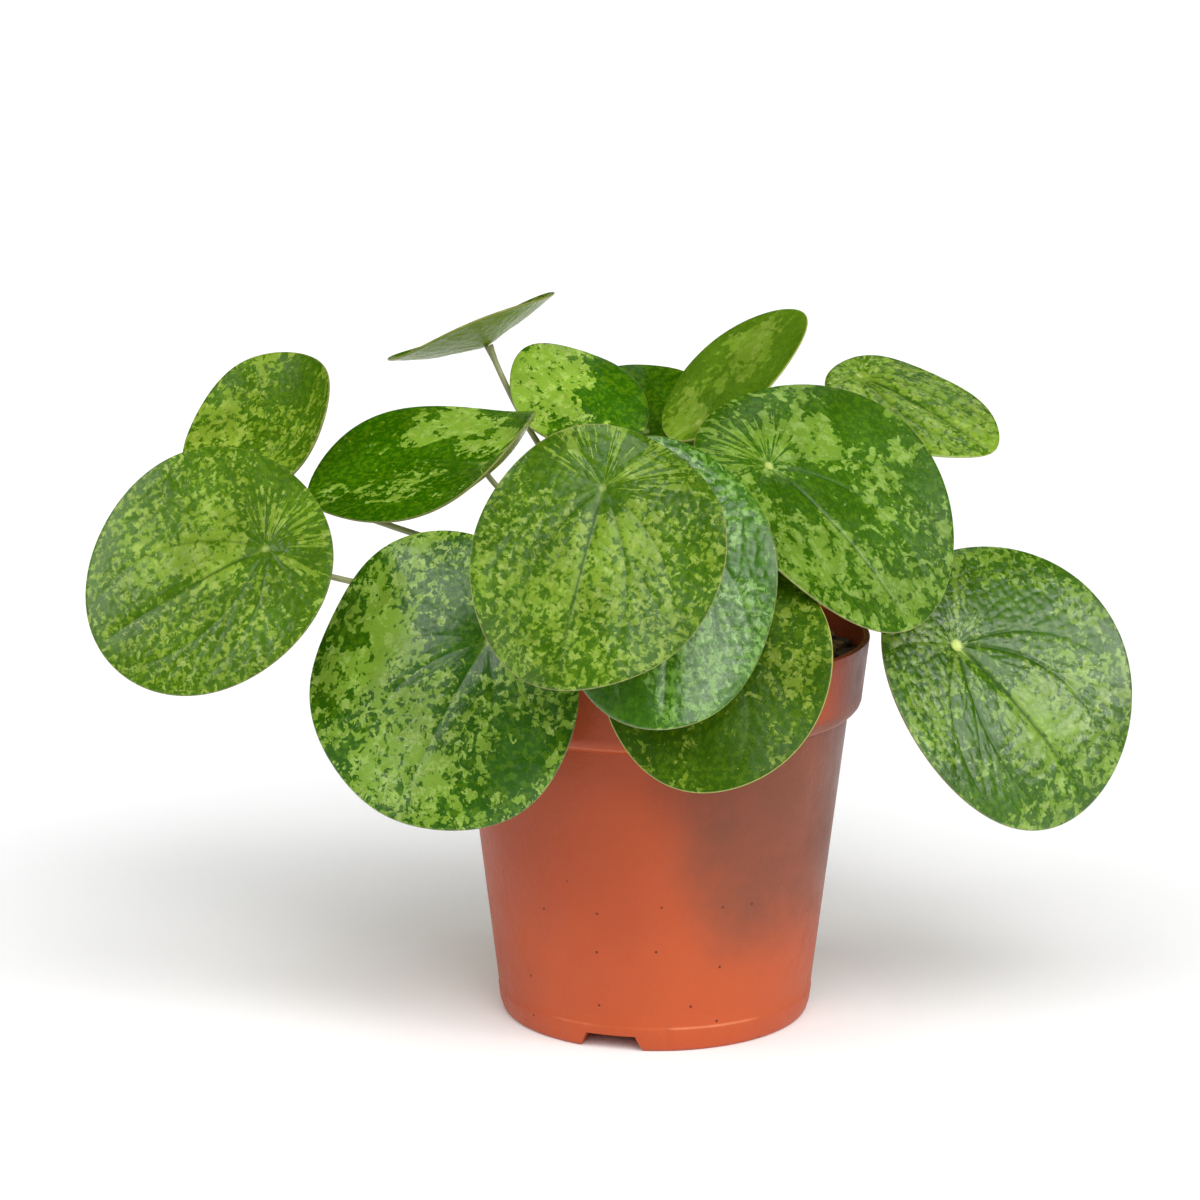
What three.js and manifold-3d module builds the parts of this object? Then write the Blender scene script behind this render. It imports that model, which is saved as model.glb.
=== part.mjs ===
// A potted pilea: round, long-stalked leaves on one short woody stem, growing in a 12 cm nursery pot.
// Millimetres, +Z up, origin at the middle of the pot's base where it rests. The front faces -Y.

import * as THREE from "three";
import { mergeVertices } from "three/addons/utils/BufferGeometryUtils.js";
import Module from "manifold-3d";

const wasm = await Module();
wasm.setup();

// ---------- driving dimensions ----------

// Pot
const POT_HEIGHT = 109;
const RIM_RADIUS = 60;
const RIM_BAND = 17; // height of the stiffening band round the rim
const BAND_LOW_RADIUS = 58;
const SHOULDER = 5; // height of the round step under the band
const SHOULDER_BULGE = { out: 0.65, up: 0.35 }; // shares of the step at its roundest point
const BODY_TOP_RADIUS = 54.2;
const BASE_RADIUS = 43.7;
const BASE_ROUND = 1.5;
const BASE_ROUND_MIDDLE = 0.3; // share of the rounding at which its slope changes
const WALL = 1.1;
const LIP = 1.8;
const POT_SIDES = 48;
const CUT_PAST = 2; // how far a cut runs past the face that it opens

// Drain channels pressed into the base
const CHANNELS = 3;
const CHANNEL_TOP_WIDTH = 14;
const CHANNEL_FOOT_WIDTH = 18;
const CHANNEL_HEIGHT = 4.5;
const CHANNEL_START = 18; // radius at which each one starts
const FIRST_CHANNEL = -17; // degrees from the front
const DRAIN_HOLE_RADIUS = 3;
const DRAIN_HOLE_REACH = 33;
const DRAIN_HOLE_LENGTH = 20;
const DRAIN_HOLE_SIDES = 12;

// Soil
const GAP = 0.3; // between pieces that touch
const SOIL_LEVEL = 103;
const SOIL_LUMP = 1.1;
const SOIL_RINGS = [1, 0.86, 0.7, 0.54, 0.38, 0.22]; // shares of the surface's radius
const COARSE_LUMPS = 0.2; // radians of ripple in each millimetre
const FINE_LUMPS = 0.53;
const WELL_LENGTH = 40; // cut for the stem's hole, well past the surface

// Woody stem
const STEM_ROOT = 86;
const STEM_TOP = 131;
const STEM_RADIUS = 4.6;
const STEM_SIDES = 12;
const STEM_SCAR = 0.25; // how far the old leaf scars swell
const STEM_BANDS = 9;
const STEM_TIP = 2; // height of the domed tip
const STEM_TIP_SHOULDER = { radius: 0.6, below: 0.5 };

// Leaf stalks and blades
const STALK_RADIUS = 1.1;
const STALK_SIDES = 6;
const STALK_STEPS = 10;
const BLADE_THICKNESS = 0.8;
const NAVEL_DEPTH = 1.2; // dimple over the stalk
const NAVEL_RADIUS = 6;
const EGG = -0.06; // the base half is a little wider than the tip half
const RINGS = [0.14, 0.45, 0.76, 1];
const SECTORS = 24;
const CURL_START = 0.35; // ring at which a turned-up margin starts to rise
const PROBE = 0.01; // small step that a blade's normal is taken over

// One row for each leaf. Lengths are in millimetres and angles in degrees.
// at: where the stalk meets the blade. facing: where the upper face looks, from the front towards +X.
// lift: how far it looks up. roll: turn of the tip in its own plane, from straight down towards the right.
// base: share of the length behind the stalk. side: sideways shift of the outline.
// arch, fold: bend along and across the midrib. cup: dish depth. curl, curlAt: margin turned up there.
// wave, waves, phase: ripple of the margin.
// node: height on the woody stem. rise, swing: the stalk's first climb and its turn from the straight way.
// reach, hook: how long the stalk keeps its first and last direction. droop: how far it comes from above.
const USUAL_LEAF = {
  base: 0.33, side: 0, arch: 0, fold: 0, cup: 0, curl: 0, curlAt: 0,
  wave: 1, waves: 3, phase: 0, swing: 0, reach: 0.3, hook: 0.2, droop: 0,
};

const LEAVES = {
  left: {
    at: [-106, -35, 140], facing: -12, lift: 34, roll: -50, length: 72, width: 70, base: 0.26, side: -5,
    arch: -24, fold: -2, wave: 1, phase: 105, node: 112, rise: 8,
  },
  back_left: {
    at: [-111, 35, 151], facing: -32, lift: 47, roll: -147, length: 53, width: 50, base: 0.21, side: 1,
    cup: 2, curl: 6, curlAt: -90, wave: 1.3, phase: 79, node: 113, rise: 25,
  },
  upper_left: {
    at: [-49, 8, 156], facing: -52, lift: 66, roll: -78, length: 73, width: 66, base: 0.22, side: 3,
    arch: 10, fold: -2, curl: 6, curlAt: 180, wave: 2.1, phase: 201, node: 118, rise: 45,
  },
  front_left: {
    at: [-46, -52, 118], facing: -26, lift: 23, roll: -44, length: 76, width: 87, base: 0.27, side: -1,
    arch: -4, fold: -30, wave: 1.4, waves: 5, phase: 234, node: 108, rise: 15,
  },
  front_centre: {
    at: [-15, -86, 166], facing: 2, lift: 28, roll: -32, length: 71, width: 63, base: 0.26, side: 8,
    arch: -26, fold: -4, wave: 2.8, waves: 4, phase: 289, node: 121, rise: 68, swing: -35, reach: 0.56,
    hook: 0.4, droop: 1,
  },
  front_inner: {
    at: [4, -66, 151], facing: 8, lift: 29, roll: -3, length: 79, width: 61, base: 0.32, side: -4,
    arch: -14, fold: -14, wave: 2.6, waves: 4, phase: 44, node: 116, rise: 38, reach: 0.5, hook: 0.3,
  },
  front_low: {
    at: [15, -63, 121], facing: -5, lift: 31, roll: -9, length: 67, width: 61, base: 0.38, side: 1,
    arch: -18, fold: 2, wave: 1.2, waves: 4, phase: 2, node: 108, rise: 15,
  },
  front_right: {
    at: [30, -33, 162.5], facing: 29, lift: 49, roll: 23, length: 82, width: 74, base: 0.29, side: 9,
    arch: -32, fold: -2, wave: 2.8, waves: 2, phase: 255, node: 121, rise: 60,
  },
  right: {
    at: [83, -19, 109.5], facing: 27, lift: 32, roll: 16, length: 83, width: 79, base: 0.31, side: 10,
    arch: -23, fold: -4, wave: 2.8, waves: 2, phase: 278, node: 110, rise: 50, reach: 0.5, hook: 0.4,
    droop: 0.6,
  },
  back_right: {
    at: [60, 55, 174], facing: 20, lift: 66, roll: 36, length: 55, width: 43, base: 0.13, side: -2,
    arch: -10, fold: -14, wave: 0.6, waves: 4, phase: 218, node: 119, rise: 40,
  },
  top_right: {
    at: [12, 30, 164], facing: -49, lift: 46, roll: 162, length: 53, width: 39, base: 0.17, side: 3,
    curl: 3, curlAt: -90, wave: 0.5, phase: 208, node: 125, rise: 60,
  },
  top_left: {
    at: [-19, 42, 160], facing: 8, lift: 51, roll: 212, length: 46, width: 37, base: 0.25, side: -5,
    fold: -14, wave: 1.3, phase: 48, node: 123, rise: 50, swing: -12, hook: 0.12,
  },
  top_middle: {
    at: [-2, 68, 155], facing: 0, lift: 55, roll: 180, length: 44, width: 41,
    fold: -10, wave: 1.7, phase: 285, node: 118, rise: 40,
  },
  top_far_left: {
    at: [-49, 60, 183], facing: -107, lift: 67, roll: -25, length: 51, width: 55, base: 0.35, side: -3,
    cup: 6, wave: 0.6, node: 120, rise: 40, reach: 0.4, hook: 0.4,
  },
  rear_right: {
    at: [50, 72, 128], facing: 140, lift: 30, roll: 0, length: 58, width: 56,
    arch: -14, fold: -12, wave: 1.2, phase: 100, node: 111, rise: 30,
  },
  rear_middle: {
    at: [2, 100, 110], facing: 176, lift: 18, roll: 0, length: 66, width: 60,
    arch: -12, fold: -14, wave: 1.2, waves: 4, phase: 220, node: 111, rise: 34,
  },
  rear_left: {
    at: [-30, 80, 126], facing: -160, lift: 35, roll: 0, length: 50, width: 46,
    arch: -10, fold: -10, wave: 1, phase: 10, node: 114, rise: 25, swing: 6,
  },
  rear_side: {
    at: [66, 44, 122], facing: 110, lift: 28, roll: 0, length: 48, width: 46,
    arch: -10, fold: -10, wave: 1, phase: 300, node: 114, rise: 20, swing: -8,
  },
  young_front: {
    at: [2, -13, 151], facing: 5, lift: 50, roll: 0, length: 20, width: 18,
    cup: 2, wave: 0.4, phase: 0, node: 128, rise: 70,
  },
  young_back: {
    at: [-8, 14, 150], facing: -150, lift: 45, roll: 0, length: 17, width: 15,
    cup: 2, wave: 0.3, phase: 90, node: 128, rise: 75,
  },
  young_side: {
    at: [14, 4, 146], facing: 100, lift: 40, roll: 0, length: 15, width: 13,
    cup: 2, wave: 0.3, phase: 180, node: 127, rise: 70,
  },
};

// ---------- finishes ----------

const finish = (color, roughness) => new THREE.MeshStandardMaterial({ color, roughness, metalness: 0 });
const POT_FINISH = finish(0xb85a35, 0.45);
const SOIL_FINISH = finish(0x2e2118, 0.95);
const STEM_FINISH = finish(0x6b5238, 0.8);
const STALK_FINISH = finish(0x7d8a55, 0.5);
const BLADE_FINISH = finish(0x5f9a34, 0.35);

// ---------- helpers ----------

const radians = THREE.MathUtils.degToRad;

function toSolid(geometry) {
  const bare = geometry.clone();
  bare.deleteAttribute("normal");
  bare.deleteAttribute("uv");
  const merged = mergeVertices(bare);
  return new wasm.Manifold(new wasm.Mesh({
    numProp: 3,
    vertProperties: new Float32Array(merged.attributes.position.array),
    triVerts: new Uint32Array(merged.index.array),
  }));
}

function toGeometry(solid) {
  const mesh = solid.getMesh();
  const geometry = new THREE.BufferGeometry();
  geometry.setAttribute("position", new THREE.BufferAttribute(new Float32Array(mesh.vertProperties), 3));
  geometry.setIndex(new THREE.BufferAttribute(new Uint32Array(mesh.triVerts), 1));
  geometry.computeVertexNormals();
  return geometry;
}

// Turns a profile of [radius, height] pairs, given from the bottom up, round the Z axis.
function turned(profile, sides) {
  const points = profile.map(([radius, height]) => new THREE.Vector2(radius, height));
  const geometry = new THREE.LatheGeometry(points, sides);
  geometry.rotateX(Math.PI / 2);
  return geometry;
}

function piece(name, geometry, material) {
  const mesh = new THREE.Mesh(geometry, material);
  mesh.name = name;
  return mesh;
}

// ---------- pot ----------

const BAND_LOW = POT_HEIGHT - RIM_BAND;

// The wall's outer profile, or one set in by a given distance, from the floor up.
function wallProfile(inset, floor, top) {
  const shoulderLow = BAND_LOW - SHOULDER;
  const taper = (BODY_TOP_RADIUS - BASE_RADIUS) / shoulderLow;
  const bodyRadius = (height) => BASE_RADIUS + taper * height - inset;
  const step = BAND_LOW_RADIUS - BODY_TOP_RADIUS;
  return [
    [bodyRadius(0) - BASE_ROUND, floor],
    [bodyRadius(0) - BASE_ROUND_MIDDLE * BASE_ROUND, floor + BASE_ROUND_MIDDLE * BASE_ROUND],
    [bodyRadius(BASE_ROUND), floor + BASE_ROUND],
    [bodyRadius(shoulderLow), shoulderLow],
    [bodyRadius(shoulderLow) + SHOULDER_BULGE.out * step, shoulderLow + SHOULDER_BULGE.up * SHOULDER],
    [BAND_LOW_RADIUS - inset, BAND_LOW],
    [RIM_RADIUS - inset, top],
  ];
}

function channel(grow, reach) {
  const half = CHANNEL_TOP_WIDTH / 2 + grow;
  const halfFoot = CHANNEL_FOOT_WIDTH / 2 + grow;
  const outline = new THREE.Shape();
  outline.moveTo(-halfFoot, -CUT_PAST);
  outline.lineTo(halfFoot, -CUT_PAST);
  outline.lineTo(halfFoot, 0);
  outline.lineTo(half, CHANNEL_HEIGHT + grow);
  outline.lineTo(-half, CHANNEL_HEIGHT + grow);
  outline.lineTo(-halfFoot, 0);
  const geometry = new THREE.ExtrudeGeometry(outline, { depth: reach, bevelEnabled: false });
  geometry.rotateX(Math.PI / 2);
  geometry.translate(0, grow - CHANNEL_START, 0);
  return geometry;
}

function allChannels(grow) {
  let joined = null;
  for (let index = 0; index < CHANNELS; index += 1) {
    const geometry = channel(grow, BASE_RADIUS);
    geometry.rotateZ(radians(FIRST_CHANNEL) + (index * 2 * Math.PI) / CHANNELS);
    const solid = toSolid(geometry);
    joined = joined ? joined.add(solid) : solid;
  }
  return joined;
}

function drainHoles() {
  let joined = null;
  for (let index = 0; index < CHANNELS; index += 1) {
    const geometry = new THREE.CylinderGeometry(
      DRAIN_HOLE_RADIUS, DRAIN_HOLE_RADIUS, DRAIN_HOLE_LENGTH, DRAIN_HOLE_SIDES);
    geometry.rotateX(Math.PI / 2);
    geometry.translate(0, -DRAIN_HOLE_REACH, 0);
    geometry.rotateZ(radians(FIRST_CHANNEL) + (index * 2 * Math.PI) / CHANNELS);
    const solid = toSolid(geometry);
    joined = joined ? joined.add(solid) : solid;
  }
  return joined;
}

function potSolid() {
  const outside = toSolid(turned([[0, 0], ...wallProfile(0, 0, POT_HEIGHT), [0, POT_HEIGHT]], POT_SIDES));
  const mouth = POT_HEIGHT + CUT_PAST;
  const hollowWall = wallProfile(WALL, WALL, mouth).slice(0, -1);
  const lip = [RIM_RADIUS - LIP, mouth];
  const hollow = toSolid(turned([[0, WALL], ...hollowWall, lip, [0, mouth]], POT_SIDES));
  const shell = outside.subtract(hollow.subtract(allChannels(WALL)));
  return shell.subtract(allChannels(0)).subtract(drainHoles());
}

// ---------- soil ----------

// Lumps of potting mix: a smooth mix of ripples that never repeats across the pot.
function lump(x, y) {
  const coarse = Math.sin(COARSE_LUMPS * x + 1.3) * Math.cos(COARSE_LUMPS * y - 0.4);
  const fine = Math.sin(FINE_LUMPS * (x - 0.9 * y)) + Math.cos(FINE_LUMPS * (1.15 * y + 0.7 * x) + 2);
  return SOIL_LUMP * (0.7 * coarse + 0.45 * fine);
}

function soilSolid() {
  const inset = WALL + GAP;
  const wall = wallProfile(inset, inset, SOIL_LEVEL).slice(0, -1);
  const upBand = (SOIL_LEVEL - BAND_LOW) / RIM_BAND;
  const bandRadius = BAND_LOW_RADIUS + upBand * (RIM_RADIUS - BAND_LOW_RADIUS);
  const rings = SOIL_RINGS.map((share) => [share * (bandRadius - LIP - GAP), SOIL_LEVEL]);
  const geometry = turned([[0, inset], ...wall, ...rings, [0, SOIL_LEVEL]], POT_SIDES);
  const position = geometry.attributes.position;
  for (let index = 0; index < position.count; index += 1) {
    if (position.getZ(index) > SOIL_LEVEL - GAP) {
      const rise = lump(position.getX(index), position.getY(index));
      position.setZ(index, SOIL_LEVEL + rise);
    }
  }
  const wellRadius = STEM_RADIUS + GAP;
  const well = new THREE.CylinderGeometry(wellRadius, wellRadius, WELL_LENGTH, STEM_SIDES);
  well.rotateX(Math.PI / 2);
  well.translate(0, 0, STEM_ROOT - GAP + WELL_LENGTH / 2);
  return toSolid(geometry).subtract(allChannels(WALL + GAP)).subtract(toSolid(well));
}

// ---------- woody stem ----------

function stemGeometry() {
  const profile = [[0, STEM_ROOT]];
  const straight = STEM_TOP - STEM_TIP - STEM_ROOT;
  for (let band = 0; band <= STEM_BANDS; band += 1) {
    const neck = band % 2 === 0 ? STEM_SCAR : 0;
    profile.push([STEM_RADIUS - neck, STEM_ROOT + (straight * band) / STEM_BANDS]);
  }
  profile.push([STEM_TIP_SHOULDER.radius * STEM_RADIUS, STEM_TOP - STEM_TIP_SHOULDER.below]);
  profile.push([0, STEM_TOP]);
  return turned(profile, STEM_SIDES);
}

// ---------- leaves ----------

// Directions of a blade: u towards its tip, v across it, n out of its upper face.
function bladeFrame(leaf) {
  const facing = radians(leaf.facing);
  const lift = radians(leaf.lift);
  const roll = radians(leaf.roll);
  const n = new THREE.Vector3(
    Math.cos(lift) * Math.sin(facing), -Math.cos(lift) * Math.cos(facing), Math.sin(lift));
  const down = new THREE.Vector3(
    Math.sin(lift) * Math.sin(facing), -Math.sin(lift) * Math.cos(facing), -Math.cos(lift));
  const level = new THREE.Vector3(Math.cos(facing), Math.sin(facing), 0);
  const u = down.clone().multiplyScalar(Math.cos(roll)).addScaledVector(level, Math.sin(roll));
  const v = down.clone().multiplyScalar(-Math.sin(roll)).addScaledVector(level, Math.cos(roll));
  return { u, v, n };
}

// Bends a distance s round an arc of curvature k: [distance along, rise].
function bent(s, k) {
  return Math.abs(k) < 1e-9 ? [s, 0] : [Math.sin(k * s) / k, (1 - Math.cos(k * s)) / k];
}

// A point of a blade's middle surface. ring runs from 0 at the stalk to 1 at the margin.
function bladePoint(leaf, frame, ring, angle) {
  const halfLength = leaf.length / 2;
  const halfWidth = leaf.width / 2;
  const middle = halfLength - leaf.base * leaf.length;
  const along = ring * (middle + halfLength * Math.cos(angle));
  const across = ring * (leaf.side + halfWidth * Math.sin(angle) * (1 + EGG * Math.cos(angle)));
  const dish = ((along - middle) / halfLength) ** 2 + ((across - leaf.side) / halfWidth) ** 2;
  const dishAtStalk = (middle / halfLength) ** 2 + (leaf.side / halfWidth) ** 2;
  const turnedUp = Math.max(0, (ring - CURL_START) / (1 - CURL_START)) ** 2
    * Math.max(0, Math.cos(angle - radians(leaf.curlAt))) ** 2;
  const [flatAlong, archRise] = bent(along, radians(leaf.arch) / leaf.length);
  const [flatAcross, foldRise] = bent(across, radians(leaf.fold) / leaf.width);
  const height = leaf.cup * (dish - dishAtStalk)
    + leaf.curl * turnedUp
    + leaf.wave * ring ** 3 * Math.sin(leaf.waves * angle + radians(leaf.phase))
    - NAVEL_DEPTH * Math.exp(-((along ** 2 + across ** 2) / NAVEL_RADIUS ** 2))
    + archRise + foldRise;
  return new THREE.Vector3(...leaf.at)
    .addScaledVector(frame.u, flatAlong)
    .addScaledVector(frame.v, flatAcross)
    .addScaledVector(frame.n, height);
}

function bladeNormal(leaf, frame, ring, angle) {
  if (ring < PROBE) {
    return frame.n.clone();
  }
  const outward = bladePoint(leaf, frame, ring, angle).sub(bladePoint(leaf, frame, ring - PROBE, angle));
  const around = bladePoint(leaf, frame, ring, angle + PROBE)
    .sub(bladePoint(leaf, frame, ring, angle - PROBE));
  return outward.cross(around).normalize();
}

// Both faces carry the same triangles, half the thickness each side of the middle surface.
function bladeGeometry(leaf, frame) {
  const positions = [];
  const put = (ring, angle, side) => {
    const point = bladePoint(leaf, frame, ring, angle);
    point.addScaledVector(bladeNormal(leaf, frame, ring, angle), (side * BLADE_THICKNESS) / 2);
    positions.push(point.x, point.y, point.z);
  };
  for (const side of [1, -1]) {
    put(0, 0, side);
    for (const ring of RINGS) {
      for (let sector = 0; sector < SECTORS; sector += 1) {
        put(ring, (sector * 2 * Math.PI) / SECTORS, side);
      }
    }
  }
  const faceSize = 1 + RINGS.length * SECTORS;
  const at = (side, ring, sector) => side * faceSize + 1 + ring * SECTORS + (sector % SECTORS);
  const triangles = [];
  const add = (a, b, c, flip) => triangles.push(...(flip ? [a, c, b] : [a, b, c]));
  for (const side of [0, 1]) {
    for (let sector = 0; sector < SECTORS; sector += 1) {
      add(side * faceSize, at(side, 0, sector), at(side, 0, sector + 1), side === 1);
      for (let ring = 0; ring + 1 < RINGS.length; ring += 1) {
        add(at(side, ring, sector), at(side, ring + 1, sector), at(side, ring + 1, sector + 1), side === 1);
        add(at(side, ring, sector), at(side, ring + 1, sector + 1), at(side, ring, sector + 1), side === 1);
      }
    }
  }
  const rim = RINGS.length - 1;
  for (let sector = 0; sector < SECTORS; sector += 1) {
    add(at(0, rim, sector), at(1, rim, sector), at(1, rim, sector + 1), false);
    add(at(0, rim, sector), at(1, rim, sector + 1), at(0, rim, sector + 1), false);
  }
  const geometry = new THREE.BufferGeometry();
  geometry.setAttribute("position", new THREE.Float32BufferAttribute(positions, 3));
  geometry.setIndex(triangles);
  geometry.computeVertexNormals();
  return geometry;
}

// The stalk climbs from the woody stem and meets the blade's underside below its navel.
function stalkCurve(leaf, frame) {
  const [x, y] = leaf.at;
  const heading = Math.atan2(x, -y) + radians(leaf.swing);
  const out = new THREE.Vector3(Math.sin(heading), -Math.cos(heading), 0);
  const rise = radians(leaf.rise);
  const first = out.clone().multiplyScalar(Math.cos(rise)).setZ(Math.sin(rise));
  const start = new THREE.Vector3(0, 0, leaf.node)
    .addScaledVector(out, STEM_RADIUS + GAP + STALK_RADIUS * Math.sin(rise));
  const last = frame.n.clone().setZ(frame.n.z - leaf.droop).normalize();
  const slant = Math.sqrt(Math.max(0, 1 - last.dot(frame.n) ** 2));
  const end = bladePoint(leaf, frame, 0, 0)
    .addScaledVector(frame.n, -(BLADE_THICKNESS / 2 + GAP + STALK_RADIUS * slant));
  const span = start.distanceTo(end);
  return new THREE.CubicBezierCurve3(
    start,
    start.clone().addScaledVector(first, leaf.reach * span),
    end.clone().addScaledVector(last, -leaf.hook * span),
    end,
  );
}

function stalkGeometry(leaf, frame) {
  const section = new THREE.Shape();
  for (let side = 0; side < STALK_SIDES; side += 1) {
    const angle = (side * 2 * Math.PI) / STALK_SIDES;
    const corner = [STALK_RADIUS * Math.cos(angle), STALK_RADIUS * Math.sin(angle)];
    if (side === 0) {
      section.moveTo(...corner);
    } else {
      section.lineTo(...corner);
    }
  }
  return new THREE.ExtrudeGeometry(section, {
    steps: STALK_STEPS,
    bevelEnabled: false,
    extrudePath: stalkCurve(leaf, frame),
  });
}

// ---------- the plant ----------

const plant = new THREE.Group();
plant.add(piece("pot", toGeometry(potSolid()), POT_FINISH));
plant.add(piece("soil", toGeometry(soilSolid()), SOIL_FINISH));
plant.add(piece("woody_stem", stemGeometry(), STEM_FINISH));

for (const [place, row] of Object.entries(LEAVES)) {
  const leaf = { ...USUAL_LEAF, ...row };
  const frame = bladeFrame(leaf);
  plant.add(piece(`leaf_${place}_blade`, bladeGeometry(leaf, frame), BLADE_FINISH));
  plant.add(piece(`leaf_${place}_petiole`, stalkGeometry(leaf, frame), STALK_FINISH));
}

export default plant;
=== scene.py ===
"""Dresses a potted pilea: round marbled leaves on long stalks, over a plastic nursery pot.

The leaf table and the forms of blades and stalks are those of the solids, in millimetres. Here the blades
get their veins, quilting, rolled margins and marbling, the stalks their swollen ends, the pot its moulded
edges and grain, and the soil its crumbs, bark and moss.
"""

import math
import random

import bmesh
import bpy
import numpy as np
from bpy.props import FloatProperty, FloatVectorProperty, IntProperty, PointerProperty
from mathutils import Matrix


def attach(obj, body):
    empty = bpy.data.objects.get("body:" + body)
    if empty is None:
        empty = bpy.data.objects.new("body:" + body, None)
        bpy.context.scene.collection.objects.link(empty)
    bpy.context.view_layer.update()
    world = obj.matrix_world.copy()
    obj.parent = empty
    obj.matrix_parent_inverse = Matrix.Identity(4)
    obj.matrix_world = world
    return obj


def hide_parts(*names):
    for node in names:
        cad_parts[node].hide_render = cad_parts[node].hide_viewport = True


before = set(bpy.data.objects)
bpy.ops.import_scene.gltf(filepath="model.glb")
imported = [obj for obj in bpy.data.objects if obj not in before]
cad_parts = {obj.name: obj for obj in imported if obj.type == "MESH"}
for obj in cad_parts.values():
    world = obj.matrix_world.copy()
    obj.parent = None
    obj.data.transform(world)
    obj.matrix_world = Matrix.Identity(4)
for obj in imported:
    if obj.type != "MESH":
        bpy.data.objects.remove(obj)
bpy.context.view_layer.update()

bl_info = {
    "name": "Potted pilea",
    "version": (1, 0, 0),
    "blender": (4, 5, 0),
    "location": "3D View > Sidebar > Pilea",
    "description": "Dresses a potted pilea plant over its solids",
    "category": "Object",
}

MM = 0.001
BODY = "root"

# ---------- the plant's own measures, as in its solids, in millimetres and degrees ----------

GAP = 0.3  # between pieces that touch
STEM_RADIUS = 4.6
STEM_ROOT = 86
STEM_TOP = 131
SOIL_LEVEL = 103
STALK_RADIUS = 1.1
BLADE_THICKNESS = 0.8
NAVEL_DEPTH = 1.2  # dimple over the stalk
NAVEL_RADIUS = 6
EGG = -0.06  # the base half is a little wider than the tip half
CURL_START = 0.35  # ring at which a turned-up margin starts to rise

# Each leaf's form.
# at: where the stalk meets the blade. facing: where the upper face looks, from the front towards +X.
# lift: how far it looks up. roll: turn of the tip in its own plane, from straight down towards the right.
# base: share of the length behind the stalk. side: sideways shift of the outline.
# arch, fold: bend along and across the midrib. cup: dish depth. curl, curl_at: margin turned up there.
# wave, waves, phase: ripple of the margin.
# node: height on the woody stem. rise, swing: the stalk's first climb and its turn from the straight way.
# reach, hook: how long the stalk keeps its first and last direction. droop: how far it comes from above.
USUAL_LEAF = {
    "base": 0.33, "side": 0, "arch": 0, "fold": 0, "cup": 0, "curl": 0, "curl_at": 0,
    "wave": 1, "waves": 3, "phase": 0, "swing": 0, "reach": 0.3, "hook": 0.2, "droop": 0,
}

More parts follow.
